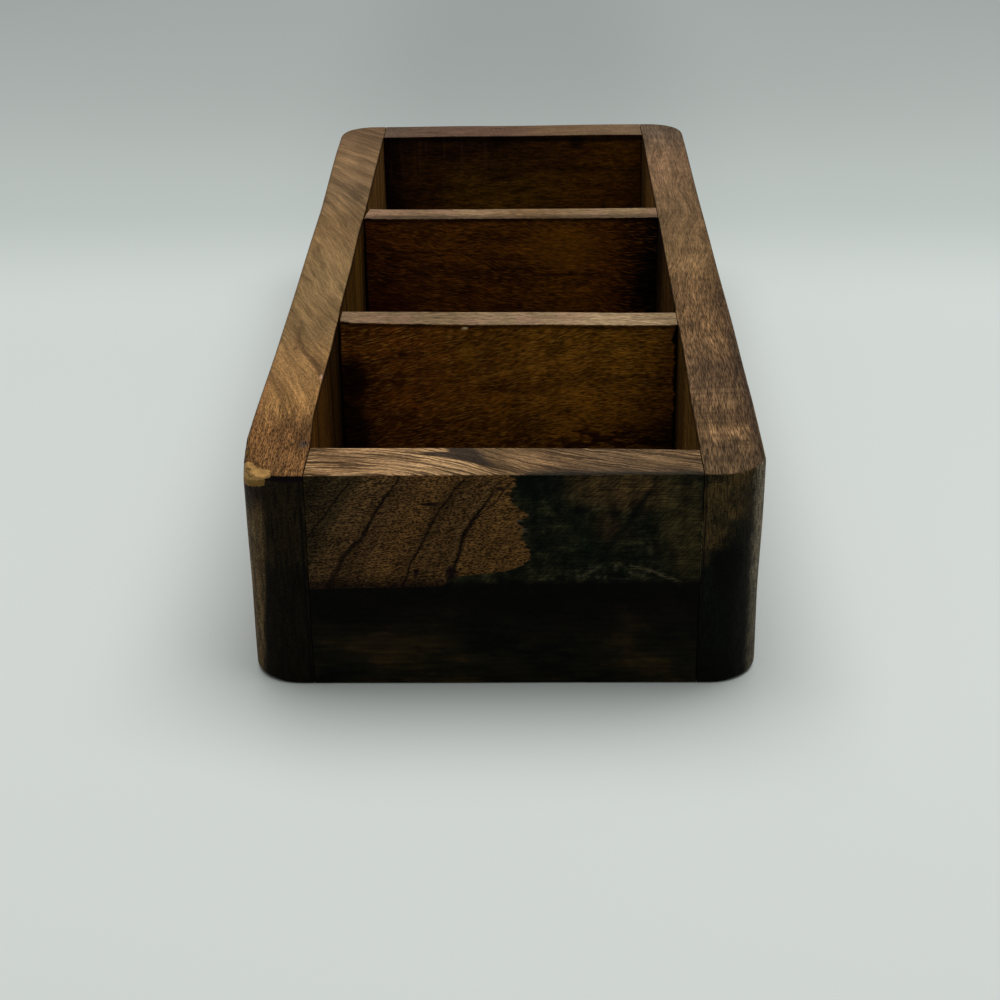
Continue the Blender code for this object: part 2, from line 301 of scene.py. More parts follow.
def chip_corner(points):
    """Breaks the front left corner off: a shallow round scoop above, a rough plane below."""
    rough = CHIP_ROUGHNESS * np.sin(points[:, 0] * 2.3 + 1.3) * np.sin(points[:, 1] * 1.9)
    away = points - np.array(CHIP_CENTRE)
    length = np.linalg.norm(away, axis=1)
    points = points + away * (np.maximum(CHIP_RADIUS + rough - length, 0.0) / length)[:, None]
    normal = np.array(CHIP_FACET_NORMAL) / np.linalg.norm(CHIP_FACET_NORMAL)
    over = np.maximum((points - np.array(CHIP_FACET)) @ normal - rough, 0.0)
    return points - over[:, None] * normal


def dent(points, centre, reach, push):
    """Presses a small hollow into a surface or edge."""
    away = np.linalg.norm((points - np.array(centre)) / np.array(reach), axis=1)
    return points + (clamp01(1 - away) ** DENT_FALL)[:, None] * np.array(push)


def make_mesh(name, points, faces):
    mesh = bpy.data.meshes.new(name)
    mesh.vertices.add(len(points))
    mesh.vertices.foreach_set("co", (points / MM_PER_M).astype(np.float32).ravel())
    mesh.loops.add(faces.size)
    mesh.loops.foreach_set("vertex_index", faces.astype(np.int32).ravel())
    mesh.polygons.add(len(faces))
    mesh.polygons.foreach_set("loop_start", np.arange(0, faces.size, faces.shape[1], dtype=np.int32))
    mesh.update(calc_edges=True)
    mesh.validate()
    return mesh


def link(name, data):
    thing = bpy.data.objects.new(name, data)
    bpy.context.scene.collection.objects.link(thing)
    return thing


def prism(outline, low, high):
    """An upright prism as points and face loops, from an outline that runs counterclockwise."""
    count = len(outline)
    points = [(x, y, low) for x, y in outline] + [(x, y, high) for x, y in outline]
    faces = [tuple(reversed(range(count))), tuple(range(count, 2 * count))]
    for i in range(count):
        j = (i + 1) % count
        faces.append((i, j, count + j, count + i))
    return points, faces


def circle(x, y, radius):
    turns = [math.tau * i / BORE_SEGMENTS for i in range(BORE_SEGMENTS)]
    return [(x + radius * math.cos(turn), y + radius * math.sin(turn)) for turn in turns]


def rounded_rectangle(half_x, half_y, radius, segments=10):
    outline = []
    for quarter, (sx, sy) in enumerate(((1, 1), (-1, 1), (-1, -1), (1, -1))):
        for step in range(segments + 1):
            turn = math.pi / 2 * (quarter + step / segments)
            x = sx * (half_x - radius) + radius * math.cos(turn)
            outline.append((x, sy * (half_y - radius) + radius * math.sin(turn)))
    return outline


def cutter(name, shapes):
    """A hidden object made of closed shapes, each (points, faces) in millimetres."""
    points, faces = [], []
    for shape_points, shape_faces in shapes:
        faces += [tuple(len(points) + i for i in face) for face in shape_faces]
        points += shape_points
    mesh = bpy.data.meshes.new(name)
    mesh.from_pydata([Vector(p) / MM_PER_M for p in points], [], faces)
    return link(name, mesh)


def lying_along_x(shape, z, y):
    """Turns an upright prism round the origin into one along X at height z and depth y."""
    points, faces = shape
    return [(p[2], p[0] + y, p[1] + z) for p in points], faces


def make_cutters():
    """The bores and the rebate, round the CAD nodes that lie in them."""
    dowels, shanks, seats = [], [], []
    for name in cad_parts:
        low, high = box_mm(name)
        x, y, z = (low + high) / 2
        if "dowel" in name:
            radius = (high[1] - low[1]) / 2 + BORE_CLEARANCE
            bore = prism(circle(0, 0, radius), low[0] - BORE_CLEARANCE, high[0] + BORE_CLEARANCE)
            dowels.append(lying_along_x(bore, z, y))
        if name.startswith("nail_"):
            hole = circle(x, y, NAIL_SHANK_RADIUS + BORE_CLEARANCE)
            shanks.append(prism(hole, -CUT_MARGIN, high[2] + BORE_CLEARANCE))
            seat = circle(x, y, (high[0] - low[0]) / 2 + BORE_CLEARANCE)
            seats.append(prism(seat, -CUT_MARGIN, low[2] + NAIL_HEAD_THICKNESS + BORE_CLEARANCE))
    outline = rounded_rectangle(INNER_X + REBATE_WIDTH, INNER_Y + REBATE_WIDTH, ROUTER_RADIUS)
    return {
        "rebate": cutter("rebate_cutter", [prism(outline, -CUT_MARGIN, BOTTOM_TOP + BORE_CLEARANCE)]),
        "dowels": cutter("dowel_cutter", dowels),
        "shanks": cutter("shank_cutter", shanks),
        "seats": cutter("seat_cutter", seats),
    }


def cut(piece, tools):
    """Cuts a piece with each tool in turn and keeps the result as its mesh."""
    for tool in tools:
        modifier = piece.modifiers.new(tool.name, "BOOLEAN")
        modifier.operation = "DIFFERENCE"
        modifier.solver = "MANIFOLD"
        modifier.object = tool
    bpy.context.view_layer.update()
    evaluated = piece.evaluated_get(bpy.context.evaluated_depsgraph_get())
    mesh = bpy.data.meshes.new_from_object(evaluated)
    piece.modifiers.clear()
    piece.data = mesh


def finish_board(node, points, faces, tools, material):
    """Turns a board's points into a piece that stands for its CAD node."""
    piece = link(f"{node}_finished", make_mesh(node, points, faces))
    cut(piece, tools)
    piece.data.shade_smooth()
    piece.data.set_sharp_from_angle(angle=SHARP_ANGLE)
    piece.data.materials.clear()
    piece.data.materials.append(material)
    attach(piece, "root")
    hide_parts(node)


def make_side_board(node, side, tools, material):
    """A side board, from its inner face to the box's rounded outside."""
    places = [grid_lines(*ends) for ends in zip(*box_mm(node))]
    if side < 0:
        places = [np.union1d(p, np.arange(*zone, CHIP_STEP)) for p, zone in zip(places, CHIP_ZONE)]
    points, faces = grid_block(places)
    points = round_outside(points)
    round_top_edge(points, 0, side * INNER_X, side, rim_easing(points))
    points = points + unevenness(points) + hand_work(points)
    if side < 0:
        points = chip_corner(points)
        for nick in NICKS:
            points = dent(points, *nick)
    finish_board(node, points, faces, tools, material)


def cross_board_grid(node):
    """The grid of a board between the side boards, and how far it reaches from the middle."""
    reach = INNER_X - JOINT_GAP
    _, y_ends, z_ends = zip(*box_mm(node))
    return *grid_block([grid_lines(-reach, reach), grid_lines(*y_ends), grid_lines(*z_ends)]), reach


def make_end_panel(node, side, tools, material):
    """The front or back panel, between the side boards."""
    points, faces, reach = cross_board_grid(node)
    points = round_outside(points)
    round_top_edge(points, 1, side * INNER_Y, side, PANEL_EASING)
    for end in (-1, 1):
        round_top_edge(points, 0, end * reach, -end, PANEL_END_EASING)
    points = points + unevenness(points) + hand_work(points)
    finish_board(node, points, faces, tools, material)


# How much too short each divider's left end is in front and behind, and how far along it that fades
DIVIDER_GAPS = {"front_divider": (0.9, 0.9), "rear_divider": (0.4, 1.8)}
DIVIDER_GAP_RUN = 5


def make_divider(node, tools, material):
    """A divider, between the side boards and on the bottom. Its left end is a little short."""
    points, faces, reach = cross_board_grid(node)
    front, rear = (corner[1] for corner in box_mm(node))
    round_top_edge(points, 1, front, 1, DIVIDER_FRONT_EASING)
    round_top_edge(points, 1, rear, -1, DIVIDER_REAR_EASING)
    front_gap, rear_gap = DIVIDER_GAPS[node]
    gap = front_gap + (rear_gap - front_gap) * (points[:, 1] - front) / (rear - front)
    gap *= 0.2 + 0.8 * smooth_step(points[:, 2], 50, 56)
    if node == "front_divider":
        wear = smooth_step(points[:, 1], rear, front) * smooth_step(points[:, 2], 50, 62)
        points[:, 1] += wear * curve(points[:, 0], FRONT_DIVIDER_WEAR)
    points[:, 1] += curve(points[:, 0], DIVIDER_SHIFT[node])
    points[:, 0] += gap * smooth_step(-points[:, 0], reach - DIVIDER_GAP_RUN, reach)
    finish_board(node, points + unevenness(points), faces, tools, material)


def make_bottom(tools, material):
    """The bottom board, with rounded corners like the rebate that it lies in."""
    low, high = box_mm("bottom_panel")
    points, faces = grid_block([grid_lines(*ends, step=BOTTOM_GRID_STEP) for ends in zip(low, high)])
    x, y, z = points.T
    depth_x, depth_y = rounded_depths(high[0] - np.abs(x), high[1] - np.abs(y), ROUTER_RADIUS)
    points = np.stack((np.sign(x) * (high[0] - depth_x), np.sign(y) * (high[1] - depth_y), z), 1)
    finish_board("bottom_panel", points, faces, tools, material)


def tint(red, green, blue):
    """A colour given as 0 to 255 on screen, as linear light."""
    return tuple(
        c / 255 / 12.92 if c <= 10 else ((c / 255 + 0.055) / 1.055) ** 2.4
        for c in (red, green, blue)
    )


def feed(socket, value):
    """Links a value to a node's input, or sets the input. Colours are given as on screen."""
    if isinstance(value, Value):
        value.tree.links.new(value.socket, socket)
    elif socket.type == "RGBA":
        socket.default_value = (*tint(*value), 1.0)
    else:
        socket.default_value = value


def add_node(tree, kind, values, output=0, **settings):
    """Adds a node and gives one of its outputs as a value."""
    node = tree.nodes.new(kind)
    for name, setting in settings.items():
        setattr(node, name, setting)
    for key, value in values.items():
        feed(node.inputs[key], value)
    return Value(tree, node.outputs[output])


class Value:
    """What a node gives: a number, a colour or coordinates in mm. Each method adds nodes to it."""

    def __init__(self, tree, socket):
        self.tree = tree
        self.socket = socket

    def add(self, kind, values, output=0, **settings):
        return add_node(self.tree, kind, values, output, **settings)

    def math(self, operation, other=0.0):
        return self.add("ShaderNodeMath", {0: self, 1: other}, operation=operation)

    def __add__(self, other):
        return self.math("ADD", other)

    def __sub__(self, other):
        return self.math("SUBTRACT", other)

    def __mul__(self, other):
        return self.math("MULTIPLY", other)

    def __truediv__(self, other):
        return self.math("DIVIDE", other)

    def __abs__(self):
        return self.math("ABSOLUTE")

    def larger(self, other):
        return self.math("MAXIMUM", other)

    def span(self, start, end, low=0.0, high=1.0, kind="LINEAR"):
        """Goes evenly from low to high as the number goes from start to end."""
        values = {"Value": self, 1: start, 2: end, 3: low, 4: high}
        return self.add("ShaderNodeMapRange", values, interpolation_type=kind)

    def step(self, start, end, low=0.0, high=1.0):
        """Goes smoothly from low to high as the number goes from start to end."""
        return self.span(start, end, low, high, "SMOOTHSTEP")

    def near(self, centre, width):
        """1 at centre and 0 from width away on."""
        return abs(self - centre).step(width, 0.0)

    def within(self, start, end, soft=1.0):
        """1 between start and end, with soft ends."""
        return self.step(start - soft, start + soft) * self.step(end + soft, end - soft)

    def tone(self, stops):
        """A colour that follows the number through stops of (number, colour)."""
        low, high = stops[0][0], stops[-1][0]
        node = self.tree.nodes.new("ShaderNodeValToRGB")
        ramp = node.color_ramp
        ramp.interpolation = "EASE"
        while len(ramp.elements) < len(stops):
            ramp.elements.new(0.5)
        for element, (place, colour) in zip(ramp.elements, stops):
            element.position = (place - low) / (high - low)
            element.color = (*tint(*colour), 1.0)
        feed(node.inputs[0], self.span(low, high))
        return Value(self.tree, node.outputs[0])

    def follow(self, points):
        """A number that follows this one through points of (this, that)."""
        places, numbers = zip(*sorted(points))
        low, high = min(numbers), max(numbers)
        node = self.tree.nodes.new("ShaderNodeFloatCurve")
        route = node.mapping.curves[0]
        while len(route.points) < len(points):
            route.points.new(0.5, 0.5)
        for point, place, number in zip(route.points, places, numbers):
            share = (place - places[0]) / (places[-1] - places[0])
            point.location = (share, (number - low) / (high - low))
        node.mapping.update()
        feed(node.inputs["Value"], self.span(places[0], places[-1]))
        return Value(self.tree, node.outputs[0]) * (high - low) + low

    def vector(self, operation, second=(0, 0, 0), third=(0, 0, 0), scale=1.0):
        values = {0: self, 1: second, 2: third, 3: scale}
        return self.add("ShaderNodeVectorMath", values, operation=operation)

    def parts(self):
        """The three numbers of coordinates."""
        node = self.tree.nodes.new("ShaderNodeSeparateXYZ")
        feed(node.inputs[0], self)
        return [Value(self.tree, output) for output in node.outputs]

    def turned(self, angle):
        values = {"Vector": self, "Angle": angle}
        return self.add("ShaderNodeVectorRotate", values, rotation_type="Z_AXIS")

    def stretched(self, along, across, shift):
        """A pattern's coordinates: its grains are along by across millimetres."""
        scale = (1 / along, 1 / across, 1 / across)
        return self.vector("MULTIPLY_ADD", scale, (shift, shift * 1.7, shift * 0.6))

    def noise(self, detail=2.0, roughness=0.5, colour=False):
        values = {"Vector": self, "Scale": 1.0, "Detail": detail, "Roughness": roughness}
        return self.add("ShaderNodeTexNoise", values, 1 if colour else 0)

    def shade(self, factor):
        """This colour, made lighter or darker by a factor."""
        return self.vector("SCALE", scale=factor)

    def lift(self, mask, share):
        """This colour, lighter or darker by a share of itself where the mask is 1."""
        return self.shade(mask * share + 1.0)

    def streaks(self, along, across, size, shift, low, high, detail=3.0):
        return self.shade(streaked(along, across, size, shift, low, high, detail))

    def paint(self, colour, mask, strength=1.0):
        """Another colour over this one, where the mask is 1."""
        values = {0: mask * strength, 6: self, 7: colour}
        return self.add("ShaderNodeMix", values, 2, data_type="RGBA")


def joined(x, y, z=0.0):
    """Coordinates made of numbers."""
    return x.add("ShaderNodeCombineXYZ", {0: x, 1: y, 2: z})


def grains(along, across, size, shift, detail=1.0, roughness=0.5):
    """Noise in long grains. Size is (length, width) in mm."""
    return joined(along, across).stretched(*size, shift).noise(detail, roughness)


def streaked(along, across, size, shift, low, high, detail=3.0):
    """A factor from low to high in streaks."""
    return grains(along, across, size, shift, detail, 0.55).span(0.32, 0.68, low, high)


def line(value, other, points, width):
    """A mask of a line through points of (other, value), where value is across the line."""
    ends = [place for place, _ in points]
    return value.near(other.follow(points), width) * other.within(min(ends), max(ends), 0.6)


def spot(u, v, centre, radii, lean=0.0, soft=0.35):
    """A mask of a soft ellipse in two coordinates, turned by lean degrees."""
    du, dv = u - centre[0], v - centre[1]
    c, s = math.cos(math.radians(lean)), math.sin(math.radians(lean))
    a = du * (c / radii[0]) + dv * (s / radii[0])
    b = dv * (c / radii[1]) - du * (s / radii[1])
    return (a * a + b * b).math("SQRT").step(1.0 + soft, 1.0 - soft)


def spotted(colour, u, v, spots):
    """Soft ellipses over a colour, each as (centre, radii, lean, soft, strength, colour)."""
    for centre, radii, lean, soft, strength, other in spots:
        colour = colour.paint(other, spot(u, v, centre, radii, lean, soft), strength)
    return colour


def patched(colour, u, v, patches):
    """Soft lighter and darker patches in a figure, or of painted shade, each as (centre, radii, factor).
    """
    for centre, radii, factor in patches:
        colour = colour.lift(spot(u, v, centre, radii, soft=0.6), factor - 1.0)
    return colour


class Graph:
    """A new material, with the place on the box in millimetres and the way its surface faces."""

    def __init__(self, name):
        self.material = bpy.data.materials.new(name)
        self.material.use_nodes = True
        self.tree = self.material.node_tree
        self.shader = self.tree.nodes["Principled BSDF"]
        place = add_node(self.tree, "ShaderNodeTexCoord", {}, "Object")
        self.mm = place.vector("SCALE", scale=MM_PER_M)
        self.x, self.y, self.z = self.mm.parts()
        self.normal = add_node(self.tree, "ShaderNodeNewGeometry", {}, "Normal").parts()

    def plain(self, colour):
        """An even colour, to start a pattern from."""
        value = add_node(self.tree, "ShaderNodeRGB", {})
        value.socket.default_value = (*tint(*colour), 1.0)
        return value

    def cloud(self, scale, detail=2.0, roughness=0.5, colour=False):
        """Noise over the box. Scale is in 1/mm, for all three axes or for each."""
        scales = scale if isinstance(scale, tuple) else (scale, scale, scale)
        return self.mm.vector("MULTIPLY", scales).noise(detail, roughness, colour)

    def facing(self, axis, sign):
        """1 where the surface faces along an axis in the given sense."""
        return (self.normal[axis] * sign).step(0.55, 0.8)

    def topside(self):
        """1 where the surface faces up, as on the sanded rim."""
        return self.normal[2].step(0.6, 0.93)

    def finish(self, colour, roughness, height, depth_mm, shine=0.04):
        feed(self.shader.inputs["Base Color"], colour)
        feed(self.shader.inputs["Roughness"], roughness)
        self.shader.inputs["Specular IOR Level"].default_value = shine
        values = {"Strength": 1.0, "Distance": depth_mm / MM_PER_M, "Height": height}
        feed(self.shader.inputs["Normal"], add_node(self.tree, "ShaderNodeBump", values))
        return self.material

    def finish_oiled(self, colour, factor, height, depth_mm=0.07):
        """Oiled wood, glossier where it is light."""
        return self.finish(colour, factor.span(0.5, 1.2, 0.7, 0.5), height, depth_mm)


GRAIN_BEND_LENGTH = 30


def grained(grain, shift, fibre=0.24, pore=0.6, pore_size=(1.1, 0.25), cover=(0.5, 0.6), bend=2.0):
    """Fibres and pores as a factor on the colour, and as a height for the bump."""
    wave = grain.vector("MULTIPLY_ADD", (1 / GRAIN_BEND_LENGTH,) * 3, (shift,) * 3).noise(colour=True)
    wavy = wave.vector("SUBTRACT", (0.5, 0.5, 0.5)).vector("MULTIPLY_ADD", (bend,) * 3, grain)
    fibres = wavy.stretched(8, 0.5, shift).noise(3.0, 0.65)
    pores = wavy.stretched(*pore_size, shift + 7).noise(1.0).step(*cover)
    factor = fibres.span(0.32, 0.68, 1 - fibre, 1 + fibre) * (pores * pore * -1.0 + 1.06)
    return factor, fibres * 0.5 - pores


# Painted shade on the side boards' inner faces: how light they are along the bays, darker toward the
# dividers, by place along the box
LEFT_WALL_PAINTED_SHADE = (
    (-150, 1.3), (-108, 1.2), (-98, 0.78), (-86, 0.5), (-66, 0.3), (-59, 0.2), (-48, 0.8), (-10, 0.65),
    (3, 0.5), (10, 0.85), (35, 0.6), (45, 0.4), (56, 0.95), (125, 0.85), (149, 0.5),
)
RIGHT_WALL_PAINTED_SHADE = (
    (-150, 0.8), (-100, 0.9), (-85, 0.7), (-72, 0.6), (-60, 0.5), (-48, 0.8), (-22, 0.6), (-4, 0.6),
    (24, 0.3), (45, 0.15), (56, 1.25), (105, 1.35), (130, 0.6), (149, 0.7),
)
JOINT_DARK = (6, 5, 3)


def wall_face(g, colour, light, shift):
    """The inner face of a side board, with upright saw bands, painted shade toward the dividers and a dark
    line of painted shade under its rim.
    """
    ragged = g.cloud(0.2, 3.0) * 12.0 + g.y - 6.0
    # Painted shade: lighter or darker along the bays as the table gives, darker toward the dividers
    colour = colour.shade(ragged.follow(light))
    colour = colour.streaks(g.z, g.y, (70, 3), shift, 0.38, 1.72)
    colour = colour.streaks(g.y, g.z, (60, 1.6), shift + 1, 0.84, 1.16)
    # Painted shade: a dark line under the rounded top edge
    return colour.paint((26, 16, 8), g.z.step(59.8, 61.0), 0.7)


def outer_face(g, colour, along, shift):
    """The outside of a board: a figure that bends slowly, with thin darker growth lines."""
    across = grains(along, g.z, (120, 45), shift) * 70.0 + g.z
    colour = g.plain(colour).streaks(along, across, (170, 6), shift + 1, 0.72, 1.28)
    rings = grains(along, across, (220, 3.2), shift + 2)
    colour = colour.shade(abs(rings - 0.5).step(0.0, 0.04, 0.68, 1.0))
    return colour.streaks(along, g.z, (9, 0.5), shift + 3, 0.84, 1.16)


# How far the left board's figure is bent across the board, by its place along the board
LEFT_BEND = (
    (-165, 0), (-125, 2), (-104, 7), (-80, 16.5), (-45, 31.5), (0, 46), (60, 67), (90, 84), (125, 111),
    (165, 146),
)
LEFT_TOP = (
    (-160, (134, 94, 53)), (-141, (134, 93, 52)), (-120, (142, 104, 60)), (-95, (142, 106, 64)),
    (-60, (124, 97, 62)), (-12, (134, 106, 69)), (30, (119, 92, 59)), (80, (112, 88, 61)),
    (112, (123, 96, 66)), (160, (103, 79, 56)),
)
LEFT_PATCHES = (
    ((-60.2, -121), (5, 9), 1.24), ((-53.2, -141), (2.6, 12), 0.42), ((-54.6, -88), (2.8, 26), 0.86),
    ((-56.5, -62), (2.6, 9), 0.8), ((-58.5, -25), (4, 13), 1.3), ((-62.5, 9), (4, 8), 0.86),
    ((-63, 56), (4.5, 13), 1.26), ((-55.8, 74), (3, 10), 0.72), ((-62.5, 119), (4, 8), 1.2),
    ((-57, 138), (5, 12), 0.78), ((-65, -154), (3.5, 10), 0.8), ((-55, -160), (4, 5), 0.8),
)
LEFT_INNER = ((-110, (88, 56, 18)), (0, (96, 66, 20)), (110, (118, 84, 42)))
LEFT_RING = ((-99.3, -52.3), (-86.4, -56.5), (-79.3, -59.8), (-70.0, -62.0), (-60.0, -62.6))
LEFT_THIN_RING = ((-56.5, -52.4), (-46, -57.5), (-37.2, -60.1))
LEFT_REAR_RING = ((-9.3, -52.4), (-6.2, -61.6), (-1.2, -66.7))
CHIP_CRACKS = (
    ((-66.9, 59.0), (-66.0, 59.9), (-65.4, 59.5), (-64.4, 59.9)),
    ((-66.3, 60.3), (-65.2, 61.0), (-64.7, 60.4)),
)


def left_rim(g, bent):
    """The left board's sanded rim, with curved growth lines, and dots and streaks in front."""
    x, y = g.x, g.y
    across = g.cloud(0.04) * 9.0 + bent
    top = y.tone(LEFT_TOP).streaks(y, across, (60, 4.5), 3.0, 0.66, 1.34)
    front_streaks = streaked(y, x, (12, 0.55), 8.0, -0.4, 0.4)
    top = top.lift(front_streaks, y.step(-95, -135))
    top = top.streaks(y, across, (34, 1.4), 5.0, 0.76, 1.24)
    top = top.streaks(y, across, (9, 0.5), 6.0, 0.8, 1.2)
    top = top.paint((104, 76, 46), spot(x, y, (-62.6, -77), (2.4, 9), 8, 0.6), 0.25)
    thin = line(x, y, LEFT_THIN_RING, 0.7) * 0.6
    top = top.paint((76, 53, 31), line(x, y, LEFT_RING, 1.4).larger(thin), 0.6)
    top = top.paint((84, 60, 42), line(x, y, LEFT_REAR_RING, 0.9), 0.3)
    top = top.paint((62, 40, 26), spot(x, y, (-62.2, -77.7), (0.6, 1.6)), 0.5)
    top = patched(top, x, y, LEFT_PATCHES)
    top = top.paint((144, 92, 60), x.step(-66.0, -67.4) * y.within(-136, -100, 4), 0.35)
    return spotted(top, x, y, (
        ((-52.6, -145.6), (1.1, 2.2), 0, 0.7, 0.75, (62, 54, 50)),
        ((-52.4, -99.3), (0.6, 1.6), 0, 0.35, 1.0, (182, 140, 116)),
    ))


def left_end(g):
    """The left board's front end, nearly black beside the joint and paler round the corner, where the
    paleness is a painted sheen.
    """
    x, z = g.x, g.z
    leaning = z * -0.065 + x
    end = g.plain((101, 80, 50)).paint((42, 29, 17), z.step(44, 56) * x.step(-67.7, -66.6))
    # Dark on the flat end; the rounded corner beyond it stays paler, a painted sheen
    end = end.paint((36, 28, 14), leaning.step(-65.9, -63.9))
    end = end.streaks(z, x, (7, 1.1), 12.0, 0.35, 1.65)
    end = end.paint(JOINT_DARK, z.step(38, 33) * leaning.step(-65.4, -63.9), 0.6)
    end = end.paint(JOINT_DARK, x.near(-INNER_X, 0.5), 0.8)
    return end.paint((20, 10, 14), z.step(59.6, 60.4) * x.step(-61.5, -60.5))


def chipped(g, colour):
    """The broken corner with a ragged outline: bare and pale above, duller below, with cracks."""
    x, y, z = g.x, g.y, g.z
    bare = g.plain((180, 138, 82)).streaks(x, y, (3, 0.6), 17.0, 0.75, 1.2)
    dull = g.plain((132, 99, 48)).streaks(x, z, (3, 0.6), 18.0, 0.7, 1.2)
    rough = g.mm.noise() * 1.4 - 0.7
    corner = (x * 0.86 + y + rough).step(-213.0, -213.4)
    level = x * -0.45 + z + rough
    across = x + rough
    upper = corner * across.step(-59.1, -59.6) * level.step(87.6, 87.9)
    colour = colour.paint(dull, corner * across.step(-60.7, -61.2) * level.step(85.8, 86.2))
    colour = colour.paint(bare, upper)
    for route in CHIP_CRACKS:
        colour = colour.paint((58, 40, 20), line(z, x, route, 0.3) * upper, 0.85)
    return colour


def make_left_wood():
    g = Graph("left_side_wood")
    x, y = g.x, g.y
    bent = x + y.follow(LEFT_BEND)
    grain = joined(y, bent, g.z)
    factor, height = grained(grain, 2.0, pore=y.step(-30, -100, 0.15, 0.42))
    dots = grain.stretched(2.3, 0.3, 4.0).noise(1.0).step(0.52, 0.6)
    factor = factor - factor * dots * y.step(-100, -142, 0.0, 0.7)
    outer = outer_face(g, (112, 82, 50), y, 15.0).paint(left_end(g), y.step(-150, -158))
    inner = wall_face(g, y.tone(LEFT_INNER), LEFT_WALL_PAINTED_SHADE, 9.0)
    side = outer.paint(inner, g.facing(0, 1) * y.within(-INNER_Y, INNER_Y, 0.5))
    upward = g.normal[2] + y.step(-156, -163, 0.0, 0.22)
    colour = side.paint(left_rim(g, bent), upward.step(0.6, 0.93)).shade(factor)
    return g.finish_oiled(chipped(g, colour), factor, height)


RIGHT_TOP = (
    (-160, (102, 79, 54)), (-132, (106, 80, 53)), (-110, (105, 80, 55)), (-92, (92, 69, 47)),
    (-78, (115, 87, 58)), (-65, (116, 87, 57)), (-30, (102, 76, 49)), (5, (121, 93, 61)),
    (60, (114, 88, 60)), (110, (123, 94, 67)), (158, (92, 75, 58)),
)
RIGHT_BEND = ((-165, 0), (-60, 6), (60, 18), (165, 22))
RIGHT_PATCHES = (
    ((59.5, -138.8), (6.5, 4.2), 1.9), ((61.5, -156), (4, 3), 0.74), ((60.5, -7), (4.5, 10), 1.35),
    ((54.5, 11), (3, 12), 0.74), ((54, 42), (2.5, 9), 0.76), ((53.8, -60), (2.6, 7), 0.74),
    ((65.5, -42), (4, 16), 0.8),
)
RIGHT_SPOTS = (
    ((61.5, -94), (7.5, 4), 15, 0.6, 0.35, (70, 52, 36)),
    ((60, -128), (9, 3.2), -12, 0.6, 0.35, (70, 52, 36)),
)
RIGHT_INNER = ((-110, (112, 80, 34)), (0, (98, 68, 30)), (110, (92, 64, 30)))


def right_rim(g):
    """The right board's sanded rim, with darker patches and ripples toward the front, and painted shade
    along its rounded outer edge.
    """
    x, y = g.x, g.y
    across = g.cloud(0.03, 1.0) * 9.0 + (x - y.follow(RIGHT_BEND))
    top = y.tone(RIGHT_TOP).streaks(y, across, (60, 3), 23.0, 0.7, 1.3)
    top = top.streaks(x, y, (16, 5), 24.0, 0.86, 1.14)
    top = top.streaks(y, across, (16, 0.9), 25.0, 0.76, 1.24)
    dashes = streaked(y, across, (6, 0.34), 26.0, -1.0, 1.0, detail=1.0)
    # Then painted shade, darker toward the rounded outer edge
    top = top.lift(dashes, y.step(70, -70, 0.12, 0.44)).shade(x.step(60.5, 67.5, 1.0, 0.74))
    ripples = grains(x, y, (15, 2.2), 27.0, 2.0).step(0.55, 0.64)
    top = top.paint((66, 47, 30), ripples * y.step(-95, -112) * y.step(-158, -148), 0.4)
    blotch = g.cloud((0.28, 0.1, 0.1), 3.0).step(0.48, 0.62)
    top = top.lift(blotch * y.step(-40, -110), -0.25)
    top = spotted(patched(top, x, y, RIGHT_PATCHES), x, y, RIGHT_SPOTS)
    # Painted shade: a dark band along the rounded outer edge
    return top.paint((54, 42, 33), x.step(64.8, 67.4) * y.step(-20, -70), 0.62)


def right_end(g):
    """The right board's front end: olive above, green-black low down, with a paler rounded corner of
    painted sheen and painted shade under its top edge.
    """
    x, z = g.x, g.z
    ragged = g.cloud(0.28, 4.0, 0.6)
    slant = ragged * 16.0 + (x * 0.9 - z)
    end = g.plain((46, 38, 21)).paint((74, 58, 31), g.cloud(0.16, 4.0, 0.65).step(0.4, 0.58))
    end = end.paint((16, 19, 12), slant.step(12.0, 21.0))
    # Painted shade under the rounded top edge near the corner
    end = end.paint((30, 26, 17), x.step(59.0, 63.0) * z.step(60.0, 57.5), 0.6)
    # Painted sheen: the rounded corner paler
    end = end.paint((112, 100, 80), (ragged * 3.0 + x).step(65.2, 68.2))
    end = end.streaks(z, x, (3, 0.45), 32.0, 0.5, 1.55, detail=1.0)
    end = end.paint((4, 5, 2), spot(x, z, (58.4, 35), (4.4, 9), soft=0.5), 0.75)
    end = end.shade(z.step(34, 22, 1.0, 0.6))
    return end.paint(JOINT_DARK, x.near(INNER_X, 0.5), 0.8)


def make_right_wood():
    g = Graph("right_side_wood")
    y, pore = g.y, g.y.step(40, -60, 0.3, 0.58)
    factor, height = grained(joined(y, g.x, g.z), 22.0, pore=pore, pore_size=(4.2, 0.3), bend=0.9)
    outer = outer_face(g, (94, 70, 45), y, 35.0).paint(right_end(g), y.step(-148, -157))
    inner = wall_face(g, y.tone(RIGHT_INNER), RIGHT_WALL_PAINTED_SHADE, 29.0)
    side = outer.paint(inner, g.facing(0, -1) * y.within(-INNER_Y, INNER_Y, 0.5))
    colour = side.paint(right_rim(g), g.topside()).shade(factor)
    return g.finish_oiled(colour, factor, height)


